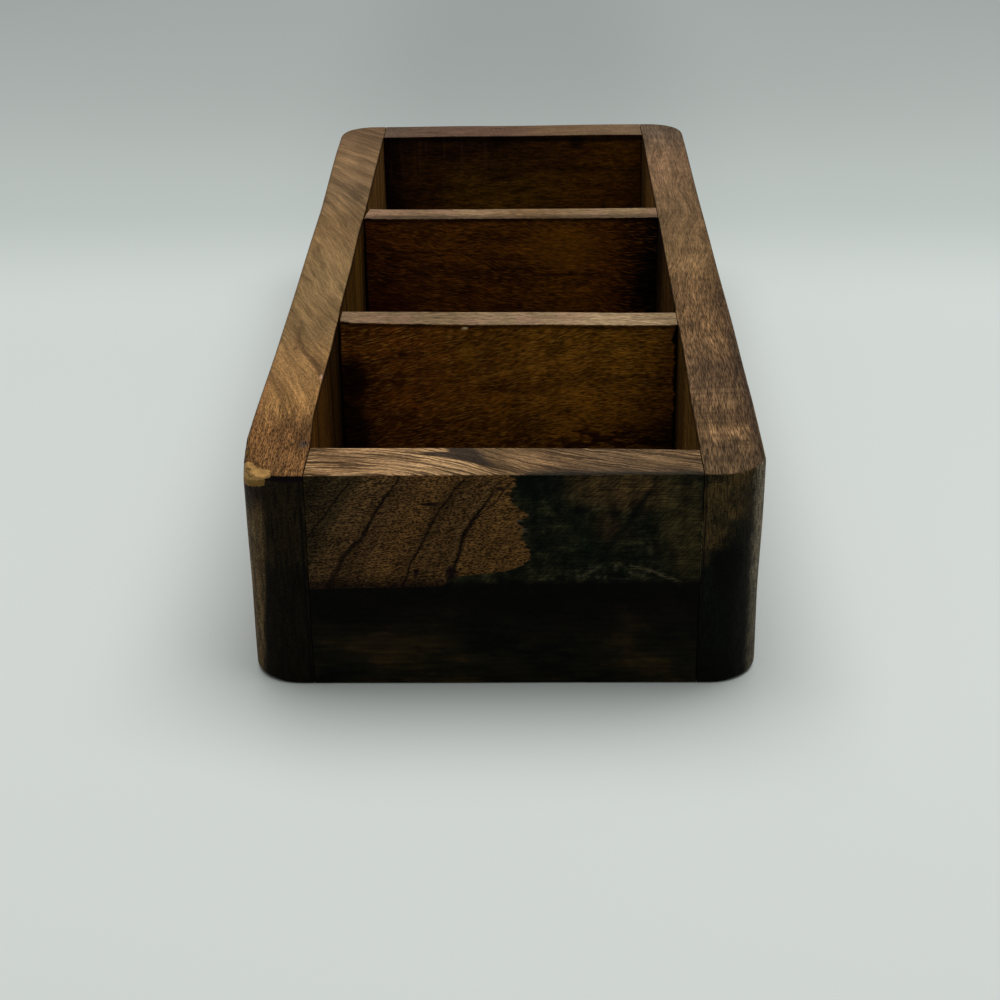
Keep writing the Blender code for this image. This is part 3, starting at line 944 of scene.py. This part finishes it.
# Growth lines of the front face, from left to right, as (z, x), and how wide the second one is by z
RING_1 = ((0, -72), (20, -62), (44.8, -50.2), (49.8, -46.4), (55.7, -42.2), (60.6, -38.8))
RING_2 = ((0, -62), (20, -50.5), (32.3, -44.5), (38.4, -41.6), (44.8, -36.2), (52.4, -32.1), (60.6, -26.5))
RING_2_WIDTH = ((0, 1.6), (30, 1.6), (42, 1.4), (48, 0.8), (56, 0.6), (62, 0.4))
RING_3 = (
    (0, -39), (20, -30.5), (32.4, -25.4), (36.3, -24.2), (41.4, -21.4), (47.4, -18.6), (52.6, -15.9),
    (56.4, -13.2), (61, -9.5),
)
RING_4 = (
    (0, -27), (20, -19.5), (32.5, -14), (35.4, -12.8), (39.3, -11.4), (44.1, -10.3), (48.2, -8.4),
    (51.7, -6), (55.5, -3.3), (58.4, -2), (60.4, -0.1),
)
# Left edge of the front's stain, and a dark band in it, as (z, x)
STAIN_EDGE = (
    (28.2, -62), (29.2, -40), (29.8, -16), (32.2, -13), (33.2, -6), (33.8, -1.7), (35, 3.1), (36.9, 6),
    (38.9, 7.1), (41.4, 6), (44.3, 4.7), (46.4, 5.5), (48.5, 3.7), (50.2, 6.1), (52.5, 4), (54.2, 2.4),
    (57.5, 2.2), (59.8, 3.3), (62, 1.8),
)
STAIN_BAND = ((36, 24.6), (42.4, 28.4), (49, 32.6), (57.5, 37.8))
BROWN_BY_RING = (
    (-38, (54, 44, 27)), (-28, (64, 52, 33)), (-22, (96, 73, 47)), (-14, (92, 68, 43)),
    (-6, (104, 76, 44)), (3, (88, 65, 39)), (18, (100, 73, 41)),
)
BROWN_SPOTS = tuple((centre, radii, 0, 0.35, 0.9, (22, 10, 16)) for centre, radii in (
    ((-18.6, 53.6), (2.1, 0.55)), ((-0.6, 57.9), (1.2, 0.5)), ((-22.8, 34), (0.8, 1.0)),
    ((-13.6, 33.6), (1.6, 2.2)),
))
STAIN_SPOTS = (
    ((9, 59), (9, 3.4), -4, 0.5, 0.85, (5, 11, 9)),
    ((26.7, 46.3), (4, 4), 0, 0.7, 0.6, (52, 38, 24)),
    ((22, 42), (5, 7), 0, 0.7, 0.6, (8, 20, 12)),
)


def bare_front(x, z):
    """The front's bare brown wood, with slanting growth lines."""
    ring = x - z.follow(RING_3)
    brown = ring.tone(BROWN_BY_RING)
    brown = brown.streaks(z, ring, (40, 3.2), 41.0, 0.68, 1.32)
    brown = brown.streaks(z, ring, (12, 0.9), 42.0, 0.8, 1.2)
    brown = brown.paint((20, 12, 8), line(x, z, RING_1, 0.6), 0.95)
    away = abs(x - z.follow(RING_2)) / z.follow(RING_2_WIDTH)
    brown = brown.paint((20, 12, 8), away.step(1.0, 0.2), 0.85)
    brown = brown.paint((18, 10, 6), line(x, z, RING_3, 0.6), 0.9)
    brown = brown.paint((104, 88, 68), line(x + 1.5, z, RING_4, 0.6), 0.4)
    brown = brown.paint((12, 8, 7), line(x, z, RING_4, 1.0), z.step(60, 52, 0.6, 0.97))
    brown = brown.shade(z.step(56, 60.5, 1.0, 1.16)).shade(x.step(-44, -50, 1.0, 0.8))
    brown = patched(brown, x, z, (((-43, 39), (7, 9), 0.78),))
    outer = x - z.follow(((50, 0.6), (54, 2.0), (61, 3.4)))
    brown = brown.paint((18, 11, 8), line(outer, z, RING_4[5:], 0.5), 0.8)
    brown = brown.paint((24, 12, 9), z.step(33.5, 29.8) * x.step(-10, -16), 0.85)
    return spotted(brown, x, z, BROWN_SPOTS)


def stained_front(g, x, z):
    """The front's stain: green-black, olive where it is thin, with saw lines and pale scratches."""
    cloud = g.cloud(0.2, 4.0, 0.65)
    patchy = cloud.step(0.4, 0.56, 0.55, 1.0)
    stain = cloud.tone(((0.38, (7, 12, 7)), (0.5, (20, 23, 14)), (0.64, (42, 43, 28))))
    stain = stain.paint((68, 53, 32), spot(x, z, (30, 58), (13, 5.5), -6, 0.6) * patchy, 0.95)
    stain = stain.paint((52, 46, 26), spot(x, z, (47, 47), (6, 15), 8, 0.6) * patchy, 0.85)
    stain = spotted(stain, x, z, STAIN_SPOTS)
    grey = spot(x, z, (27, 33.6), (9, 2), soft=0.6) * cloud.step(0.46, 0.58)
    stain = stain.paint((66, 66, 54), grey, 0.6)
    stain = stain.paint((9, 12, 8), line(x, z, STAIN_BAND, 2.4), 0.9)
    stain = stain.streaks(z, x, (12, 2.6), 45.0, 0.7, 1.3)
    stain = stain.streaks(x, z, (6, 0.34), 47.0, 0.5, 1.6, detail=1.0)
    hairs = joined(x, z).turned(-0.75).stretched(2.4, 0.36, 48.0).noise(1.0)
    stain = stain.shade(hairs.span(0.35, 0.65, 0.55, 1.55))
    scratch = line(z, x, ((33, 35.6), (39, 33.8), (46, 30.9)), 1.0)
    stain = stain.paint((96, 90, 72), scratch * g.cloud((0.3, 1.0, 2.4)).step(0.46, 0.56), 0.7)
    wide = g.cloud((0.05, 0.05, 0.12), 4.0, 0.6)
    low = wide.tone(((0.36, (10, 13, 8)), (0.5, (24, 23, 14)), (0.64, (48, 38, 22))))
    low = low.streaks(x, z, (10, 0.8), 49.0, 0.55, 1.5)
    stain = stain.paint(low, z.step(32, 24))
    return stain.paint((4, 3, 3), z.step(32.0, 30.0) * z.step(4, 28), 0.92).shade(0.94)


def front_face(g, speckle):
    """The front: brown at the left and stained at the right, with dark joints and a line of glue."""
    shake_x, _, shake_z = g.cloud(0.35, 3.0, colour=True).vector("SUBTRACT", (0.5, 0.5, 0.5)).parts()
    x, z = shake_x + g.x, shake_z * 0.8 + g.z
    torn = g.cloud((0.25, 0.25, 1.3), 3.0)
    reach = torn * 3.4 + g.x - g.z.follow(STAIN_EDGE)
    colour = bare_front(x, z).shade(speckle).paint(stained_front(g, x, z), reach.step(1.35, 2.05))
    splinter = reach.within(1.6, 3.4, 0.5) * z.within(45.5, 49.5, 0.6) * torn.step(0.5, 0.6)
    colour = colour.paint((84, 80, 72), splinter, 0.7)
    colour = colour.paint((8, 6, 4), g.x.step(-50.9, -51.6), 0.7)
    colour = colour.paint((8, 7, 4), g.x.step(50.6, 51.4) * g.z.step(49, 52, 0.5, 0.9))
    dotted = g.cloud((0.2, 0.2, 0.9)).step(0.44, 0.52)
    return colour.paint((196, 188, 158), g.x.step(51.15, 51.4) * g.z.step(51, 47) * dotted)


# How far the front rim's streaks are bent toward the front, by their place across the box
RIM_BEND = ((-52, 0), (-30, 1.5), (-16, 6.5), (5, 20), (28, 29), (52, 37))
RIM_TOP = (
    (-52, (126, 94, 60)), (-32, (152, 117, 80)), (-12, (150, 118, 80)), (8, (112, 86, 58)),
    (30, (110, 86, 60)), (52, (108, 84, 57)),
)
FRONT_RIM_PATCHES = (
    ((-18, -157.5), (6, 3.5), 1.4), ((-31, -157), (5, 3), 0.9), ((6.5, -156.5), (6, 4), 1.4),
)
WEDGE_EDGE = ((-21.3, -152.4), (-14.6, -154.3), (-6.6, -158.2), (-2.1, -160.6), (4.3, -163.9))
RIM_DARK_LINE = ((14, -148.5), (20, -150.2), (35.3, -157.6), (50.3, -162.6))


def front_rim(g):
    """The front rim: pale streaks that sink toward the right, with a dark wedge in the middle."""
    x, y = g.x, g.y
    across = g.cloud(0.12) * 3.0 + (y + x.follow(RIM_BEND))
    top = x.tone(RIM_TOP).streaks(x, across, (20, 0.5), 51.0, 0.4, 1.6)
    top = top.streaks(x, across, (50, 2.4), 53.0, 0.7, 1.3)
    crisp = streaked(x, across, (7, 0.36), 55.0, -1.0, 1.0, detail=1.0)
    top = top.lift(crisp, x.step(-10, 20, 0.12, 0.4))
    hair = grains(x, across, (15, 0.7), 52.0)
    top = top.paint((48, 33, 20), hair.step(0.54, 0.59), 0.75)
    top = top.paint((208, 168, 122), hair.step(0.46, 0.38) * x.step(0, -14), 0.5)
    top = patched(top, x, y, FRONT_RIM_PATCHES)
    top = top.lift(x.step(2, 10) * y.within(-155.5, -150.5, 1.5), 0.12)
    top = top.lift(x.within(12, 33, 4) * y.step(-157.5, -160.5), -0.28)

    # Dark wedge
    wedge = y - x.follow(WEDGE_EDGE)
    beyond = wedge.step(-0.4, 0.4) * x.step(-16, -13.5).larger(y.step(-150.6, -151.4))
    top = top.paint((84, 64, 42), beyond * x.within(-8, 1, 2.5), 0.6)
    top = top.paint((60, 46, 28), beyond * wedge.step(3.6, 1.6) * x.within(-8, 4, 2), 0.5)
    dark = x.step(-23, -20) * (wedge * 0.5 + x).step(0.0, -4.5)
    top = top.paint((46, 37, 30), beyond * dark, 0.93)
    top = top.paint((40, 28, 20), wedge.near(-0.1, 0.7) * x.within(-21, 4, 1), 0.8)

    top = top.paint((58, 44, 30), line(y, x, RIM_DARK_LINE, 0.8), 0.6)
    top = top.paint((70, 58, 46), y.step(-159.5, -164) * x.step(2, 12), 0.55)
    return top.paint((36, 34, 26), y.step(-162.8, -164.2) * x.step(4, 8), 0.8)


def make_front_wood():
    g = Graph("front_panel_wood")
    x, y, z = g.x, g.y, g.z
    rim_grain = joined(x, y + x.follow(RIM_BEND), z)
    rim_factor, rim_height = grained(rim_grain, 54.0, fibre=0.3, pore=0.4)
    factor, height = grained(joined(x, z, y).turned(-0.12), 57.0, 0.42, 0.85, (0.8, 0.28), (0.48, 0.56))
    inner = g.plain((112, 72, 28)).streaks(x, z, (70, 5), 59.0, 0.7, 1.3).shade(factor)
    face = front_face(g, factor).vector("MULTIPLY", (1.01, 0.92, 0.75))
    up = g.normal[2].step(0.5, 0.85)
    colour = face.paint(inner, g.facing(1, 1)).paint(front_rim(g).shade(rim_factor), up)
    height = up.add("ShaderNodeMix", {0: up, 2: height, 3: rim_height})
    return g.finish_oiled(colour, factor, height)


BACK_TOP = (
    (-52, (93, 75, 60)), (-28, (98, 74, 59)), (-6, (97, 72, 56)), (16, (111, 85, 61)), (52, (117, 93, 69)),
)
BACK_BAND = ((-20, 41), (-9.1, 43.5), (10.3, 49), (28, 54.5), (36, 60))
BACK_SPOTS = tuple(
    (centre, (3.5, 2.5), 0, 0.6, 0.75, (16, 8, 4)) for centre in ((-29, 61), (-5, 61), (26, 60))
) + (((-32, 57), (16, 5), 0, 0.6, 0.5, (30, 14, 10)),)


def back_inner_face(g):
    """Purple brown above, golden low in the middle, with a dark slanting band."""
    x, z = g.x, g.z
    inner = g.plain((100, 68, 14)).paint((62, 36, 12), z.step(40, 56))
    inner = inner.paint((96, 58, 10), x.step(0, 34)).paint((70, 42, 12), x.step(-14, -34))
    inner = inner.paint((28, 14, 6), x.step(-38, -50))
    inner = inner.paint((52, 24, 8), line(z, x, BACK_BAND, 3.2) * x.within(-14, 34, 5), 0.6)
    inner = inner.streaks(x, z, (18, 4), 65.0, 0.55, 1.45)
    inner = inner.streaks(x, z, (3.0, 0.6), 66.0, 0.5, 1.5, detail=1.0)
    inner = spotted(inner, x, z, BACK_SPOTS)
    upright = grains(z, x, (26, 2.0), 67.0).step(0.54, 0.68) * z.step(38, 50) * x.step(8, -16)
    # Darker overall, then a dark line of painted shade under the rounded top edge
    return inner.paint((96, 64, 40), upright, 0.28).shade(0.86).paint((12, 6, 3), z.step(59.0, 60.6), 0.8)


def make_back_wood():
    g = Graph("back_panel_wood")
    factor, height = grained(joined(g.x, g.z, g.y), 62.0, pore=0.4)
    top = g.x.tone(BACK_TOP).streaks(g.x, g.y, (14, 2.0), 63.0, 0.78, 1.22)
    side = outer_face(g, (98, 70, 48), g.x, 68.0).paint(back_inner_face(g), g.facing(1, -1))
    return g.finish_oiled(side.paint(top, g.topside()).shade(factor), factor, height)


def blotched(g, face, size, colour):
    """Ragged darker blotches, mostly low on a divider's face. Size is by axis, in mm."""
    blotch = g.cloud(tuple(1 / length for length in size), 4.0, 0.6).step(0.5, 0.62)
    return face.paint(colour, blotch * g.z.step(54, 38, 0.35, 1.0), 0.6)


def dashed(face, along, across, size, shift, colour, strength):
    """Fine pale dashes over a divider's face."""
    return face.paint(colour, grains(along, across, size, shift).step(0.55, 0.66), strength)


FRONT_DIVIDER_FACE = (
    (-52, (104, 56, 14)), (-30, (122, 70, 20)), (-5, (130, 82, 22)), (12, (146, 97, 28)),
    (38, (142, 94, 26)), (52, (118, 74, 20)),
)
FRONT_DIVIDER_LEAN = ((-52, 0), (-11, -9), (16, -17), (52, -20))
FRONT_DIVIDER_LIGHT = ((-12, 43.1), (0, 46.5), (16.2, 50.2), (26, 53.5))


def front_divider_face(g):
    """Golden brown, black at the left and right ends, with purple streaks low on the right."""
    x, z = g.x, g.z
    across = z + (g.cloud(0.03) * 9.0 + x.follow(FRONT_DIVIDER_LEAN))
    face = x.tone(FRONT_DIVIDER_FACE).shade(z.step(40, 22, 1.0, 0.72))
    face = face.streaks(x, across, (20, 4), 71.0, 0.6, 1.4)
    face = face.streaks(x, across, (2.0, 0.42), 73.0, 0.4, 1.65, detail=1.0)
    face = face.streaks(z, x, (60, 7), 75.0, 0.8, 1.2)
    face = blotched(g, face, (11, 11, 6), (70, 36, 14))
    face = dashed(face, x, across, (3.2, 0.4), 77.0, (204, 148, 66), 0.5)
    light = line(z, x, FRONT_DIVIDER_LIGHT, 1.1) * x.within(-12, 25, 2)
    face = face.paint((176, 122, 44), light, 0.5)
    face = spotted(face, x, z, (
        ((-12, 52.5), (2.0, 3.4), 0, 0.5, 0.5, (164, 118, 34)),
        ((-32.1, 52.1), (1.7, 0.9), 0, 0.6, 0.85, (44, 12, 16)),
    ))
    black = spot(x, z, (-48, 43), (5.6, 8), soft=0.5).larger(spot(x, z, (-51, 26), (9, 14), 10))
    face = face.paint((24, 10, 4), black, 0.9)
    ragged = g.cloud((0.14, 0.14, 0.5), 3.0)
    low = x.step(-2, 22) * z.within(20, 28.5, 2.5) * ragged.step(0.42, 0.56)
    face = face.paint((42, 12, 12), low, 0.85)
    face = face.paint((30, 12, 6), x.step(36, 50) * z.step(36, 26), 0.7)
    face = face.paint((10, 6, 4), (ragged * 3.0 + x).step(52.1, 52.8))
    # Painted shade: a dark line under the rounded top edge
    face = face.paint((16, 8, 4), z.step(60.0, 61.2), 0.7)
    face = spotted(face, x, z, (
        ((51.4, 57.2), (1.4, 2.0), 0, 0.35, 1.0, (6, 4, 3)),
        ((-12.8, 60.7), (1.0, 0.4), 8, 0.35, 1.0, (250, 222, 170)),
    ))
    return face.paint((12, 6, 4), x.step(-50.4, -51.2))


REAR_DIVIDER_FACE = (
    (-52, (84, 42, 10)), (-24, (96, 54, 12)), (0, (98, 56, 12)), (20, (116, 70, 12)), (34, (100, 56, 10)),
    (44, (56, 26, 6)), (52, (24, 12, 6)),
)
REAR_DIVIDER_LINES = (
    ((-46, 52.2), (-38, 49.4), (-30, 49.6), (-24, 47.2)),
    ((-26, 50.0), (-18, 49.4), (-10, 46.6), (-2, 46.8), (6, 44.6)),
    ((-8, 42.6), (2, 43.2), (12, 40.8), (24, 41.0)),
    ((-44, 44.5), (-36, 43.2), (-28, 40.4)),
)


def rear_divider_face(g):
    """Brown with wavy streaks that sink to the right, golden in the middle and black at the right."""
    x, z = g.x, g.z
    across = g.cloud(0.05) * 8.0 + (x * 0.12 + z)
    face = x.tone(REAR_DIVIDER_FACE).shade(z.step(44, 30, 1.0, 0.8))
    face = face.streaks(x, across, (24, 2.8), 81.0, 0.55, 1.45)
    face = face.streaks(x, across, (2.6, 0.5), 83.0, 0.4, 1.65, detail=1.0)
    face = blotched(g, face, (12, 12, 5), (50, 26, 10))
    face = dashed(face, x, across, (4, 0.5), 87.0, (156, 100, 38), 0.45)
    for route in REAR_DIVIDER_LINES:
        face = face.paint((30, 13, 8), line(z, x, route, 0.9), 0.6)
    face = face.paint((136, 86, 14), spot(x, z, (19, 51), (11, 6.5), soft=0.6), 0.4)
    face = face.paint((66, 20, 8), x.step(-30, -44) * z.step(40, 30), 0.6)
    face = face.paint((10, 8, 5), spot(x, z, (49, 36), (5, 10), soft=0.6), 0.8)
    # Painted shade: a dark line under the rounded top edge
    face = face.paint((12, 7, 4), z.step(59.8, 61.2), 0.8)
    return face.paint((12, 6, 4), x.step(-50.6, -51.3))


FRONT_DIVIDER_TOP = (
    (-52, (122, 99, 71)), (-22, (119, 97, 69)), (0, (139, 115, 85)), (34, (156, 130, 97)),
    (52, (136, 112, 82)),
)
REAR_DIVIDER_TOP = (
    (-52, (138, 110, 82)), (-32, (125, 99, 72)), (-16, (140, 112, 82)), (8, (121, 93, 62)),
    (32, (136, 111, 79)), (52, (125, 101, 73)),
)
FRONT_DIVIDER_PATCHES = (((38, -48.4), (20, 2), 0.74),)
# Painted shade on the rear divider's top toward its front edge, as on a rounder edge
REAR_DIVIDER_EDGE_SHADE = (((-30, 45.4), (30, 2.6), 0.4), ((30, 45.4), (30, 2.6), 0.4))
# Torn lines on the front divider's top, as (route, width, strength, colour)
FRONT_DIVIDER_MARKS = (
    (((27.2, -52.6), (46.6, -58.9)), 0.5, 0.6, (212, 180, 138)),
    (((31, -55), (46, -59.8)), 0.45, 0.5, (92, 66, 42)),
)


def make_divider_wood(name, shift, top_stops, face, patches, marks=()):
    g = Graph(name)
    x, y, z = g.x, g.y, g.z
    factor, height = grained(joined(x, z, y), shift, 0.2, 0.4, (2.2, 0.34))
    top = x.tone(top_stops).streaks(x, y, (18, 1.6), shift + 3, 0.8, 1.2)
    top = top.streaks(x, x * 0.16 + y, (4, 0.6), shift + 4, 0.62, 1.34)
    top = top.paint((150, 112, 92), g.cloud(0.09).step(0.5, 0.64), 0.3)
    top = patched(top, x, y, patches)
    for route, width, strength, colour in marks:
        top = top.paint(colour, line(y, x, route, width), strength)
    rear = g.plain((110, 70, 26)).streaks(x, z, (60, 5), shift + 5, 0.7, 1.3)
    side = face(g).paint(rear, g.facing(1, 1))
    torn = g.mm.stretched(1.6, 0.8, shift + 6).noise() * 1.1 + (g.normal[2] - 0.55)
    # Painted highlight: a pale line along the rounded front edge of the top
    top = top.paint((188, 156, 116), torn.near(0.66, 0.22) * g.facing(1, -1), 0.5)
    colour = side.paint(top, torn.step(0.45, 0.75)).shade(factor)
    return g.finish_oiled(colour, factor, height, 0.06)


def make_bottom_wood():
    g = Graph("bottom_wood")
    factor, height = grained(joined(g.y, g.x, g.z), 91.0)
    colour = g.plain((88, 62, 36)).streaks(g.y, g.x, (110, 9), 93.0, 0.7, 1.3)
    return g.finish(colour.shade(factor), 0.7, height, 0.07)


def make_dowel_wood():
    g = Graph("dowel_wood")
    factor, height = grained(g.mm, 95.0, fibre=0.1, pore=0.15)
    return g.finish(g.plain((204, 178, 138)).shade(factor), 0.7, height, 0.05)


def make_nail_steel():
    g = Graph("nail_steel")
    wear = g.cloud(1.4, 3.0)
    colour = wear.tone(((0.35, (150, 148, 144)), (0.6, (168, 166, 160)), (0.75, (110, 82, 60))))
    g.shader.inputs["Metallic"].default_value = 1.0
    return g.finish(colour, wear.span(0.3, 0.7, 0.32, 0.6), wear, 0.03, shine=0.5)


FLOOR_HALF_M = 4.0
# The floor's pale colour, with painted shade making it greyer further behind the box, by place along the
# box
FLOOR_TONE_AND_SHADE = (
    (-200, (213, 218, 215)), (110, (206, 212, 209)), (260, (186, 193, 190)), (720, (168, 174, 172)),
)
WORLD_COLOUR = (224, 228, 226)
WORLD_STRENGTH = 0.3
LAMP_PLACE_M = (0.1, 0.25, 1.4)
LAMP_SIZE_M = (1.6, 1.2)
LAMP_POWER = 22.0


def make_floor():
    """A pale floor with painted shade: greyer behind the box, with a painted shadow and a darker column
    behind it.
    """
    g = Graph("floor_paper")
    colour = g.y.tone(FLOOR_TONE_AND_SHADE)
    # Painted shadow behind the box
    colour = colour.paint((150, 154, 151), spot(g.x, g.y, (0, 470), (330, 170), soft=0.9), 0.45)
    # Painted shade: a darker column straight behind the box
    colour = colour.lift(spot(g.x, g.y, (0, 520), (85, 420), soft=0.6), -0.12)
    feed(g.shader.inputs["Base Color"], colour)
    g.shader.inputs["Roughness"].default_value = 0.9
    g.shader.inputs["Specular IOR Level"].default_value = 0.1
    mesh = bpy.data.meshes.new("floor")
    corners = ((-1, -1), (1, -1), (1, 1), (-1, 1))
    mesh.from_pydata([(x * FLOOR_HALF_M, y * FLOOR_HALF_M, 0.0) for x, y in corners], [], [range(4)])
    mesh.materials.append(g.material)
    floor = link("floor", mesh)


def make_light():
    """A pale studio round the box and one large soft lamp overhead."""
    world = bpy.data.worlds.new("studio")
    world.use_nodes = True
    background = world.node_tree.nodes["Background"]
    background.inputs["Color"].default_value = (*tint(*WORLD_COLOUR), 1.0)
    background.inputs["Strength"].default_value = WORLD_STRENGTH
    bpy.context.scene.world = world
    data = bpy.data.lights.new("overhead", "AREA")
    data.shape = "RECTANGLE"
    data.size, data.size_y = LAMP_SIZE_M
    data.energy = LAMP_POWER
    lamp = link("overhead", data)
    lamp.location = LAMP_PLACE_M
    lamp.rotation_euler = (-Vector(LAMP_PLACE_M)).to_track_quat("-Z", "Y").to_euler()


def make_camera():
    data = bpy.data.cameras.new("camera")
    data.lens = CAMERA_LENS
    data.sensor_width = CAMERA_SENSOR
    camera = link("camera", data)
    tilt, yaw, roll = CAMERA_TILT, CAMERA_YAW, CAMERA_ROLL
    forward = Vector((-math.sin(yaw) * math.cos(tilt), math.cos(yaw) * math.cos(tilt), -math.sin(tilt)))
    level = Vector((math.cos(yaw), math.sin(yaw), 0.0))
    rise = level.cross(forward)
    right = math.cos(roll) * level + math.sin(roll) * rise
    up = math.cos(roll) * rise - math.sin(roll) * level
    turn = Matrix((right, up, -forward)).transposed()
    camera.matrix_world = Matrix.Translation(CAMERA_PLACE_M) @ turn.to_4x4()
    data.clip_start, data.clip_end = CAMERA_CLIP_M
    bpy.context.scene.camera = camera


make_camera()
make_floor()
make_light()

cutters = make_cutters()
walls = [cutters["rebate"], cutters["dowels"], cutters["shanks"]]
make_side_board("left_side_board", -1, walls, make_left_wood())
make_side_board("right_side_board", 1, walls, make_right_wood())
make_end_panel("front_panel", -1, walls, make_front_wood())
make_end_panel("back_panel", 1, walls, make_back_wood())
inner_walls = [cutters["dowels"], cutters["shanks"]]
front_wood = make_divider_wood(
    "front_divider_wood", 70.0, FRONT_DIVIDER_TOP, front_divider_face, FRONT_DIVIDER_PATCHES,
    FRONT_DIVIDER_MARKS,
)
rear_wood = make_divider_wood(
    "rear_divider_wood", 80.0, REAR_DIVIDER_TOP, rear_divider_face, REAR_DIVIDER_EDGE_SHADE
)
make_divider("front_divider", inner_walls, front_wood)
make_divider("rear_divider", inner_walls, rear_wood)
make_bottom([cutters["shanks"], cutters["seats"]], make_bottom_wood())
for tool in cutters.values():
    bpy.data.objects.remove(tool)

dowel_wood, nail_steel = make_dowel_wood(), make_nail_steel()
for name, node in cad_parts.items():
    if "dowel" in name or name.startswith("nail_"):
        dowel = "dowel" in name
        node.data.materials.clear()
        node.data.materials.append(dowel_wood if dowel else nail_steel)

view = bpy.context.scene.view_settings
view.view_transform = "Standard"
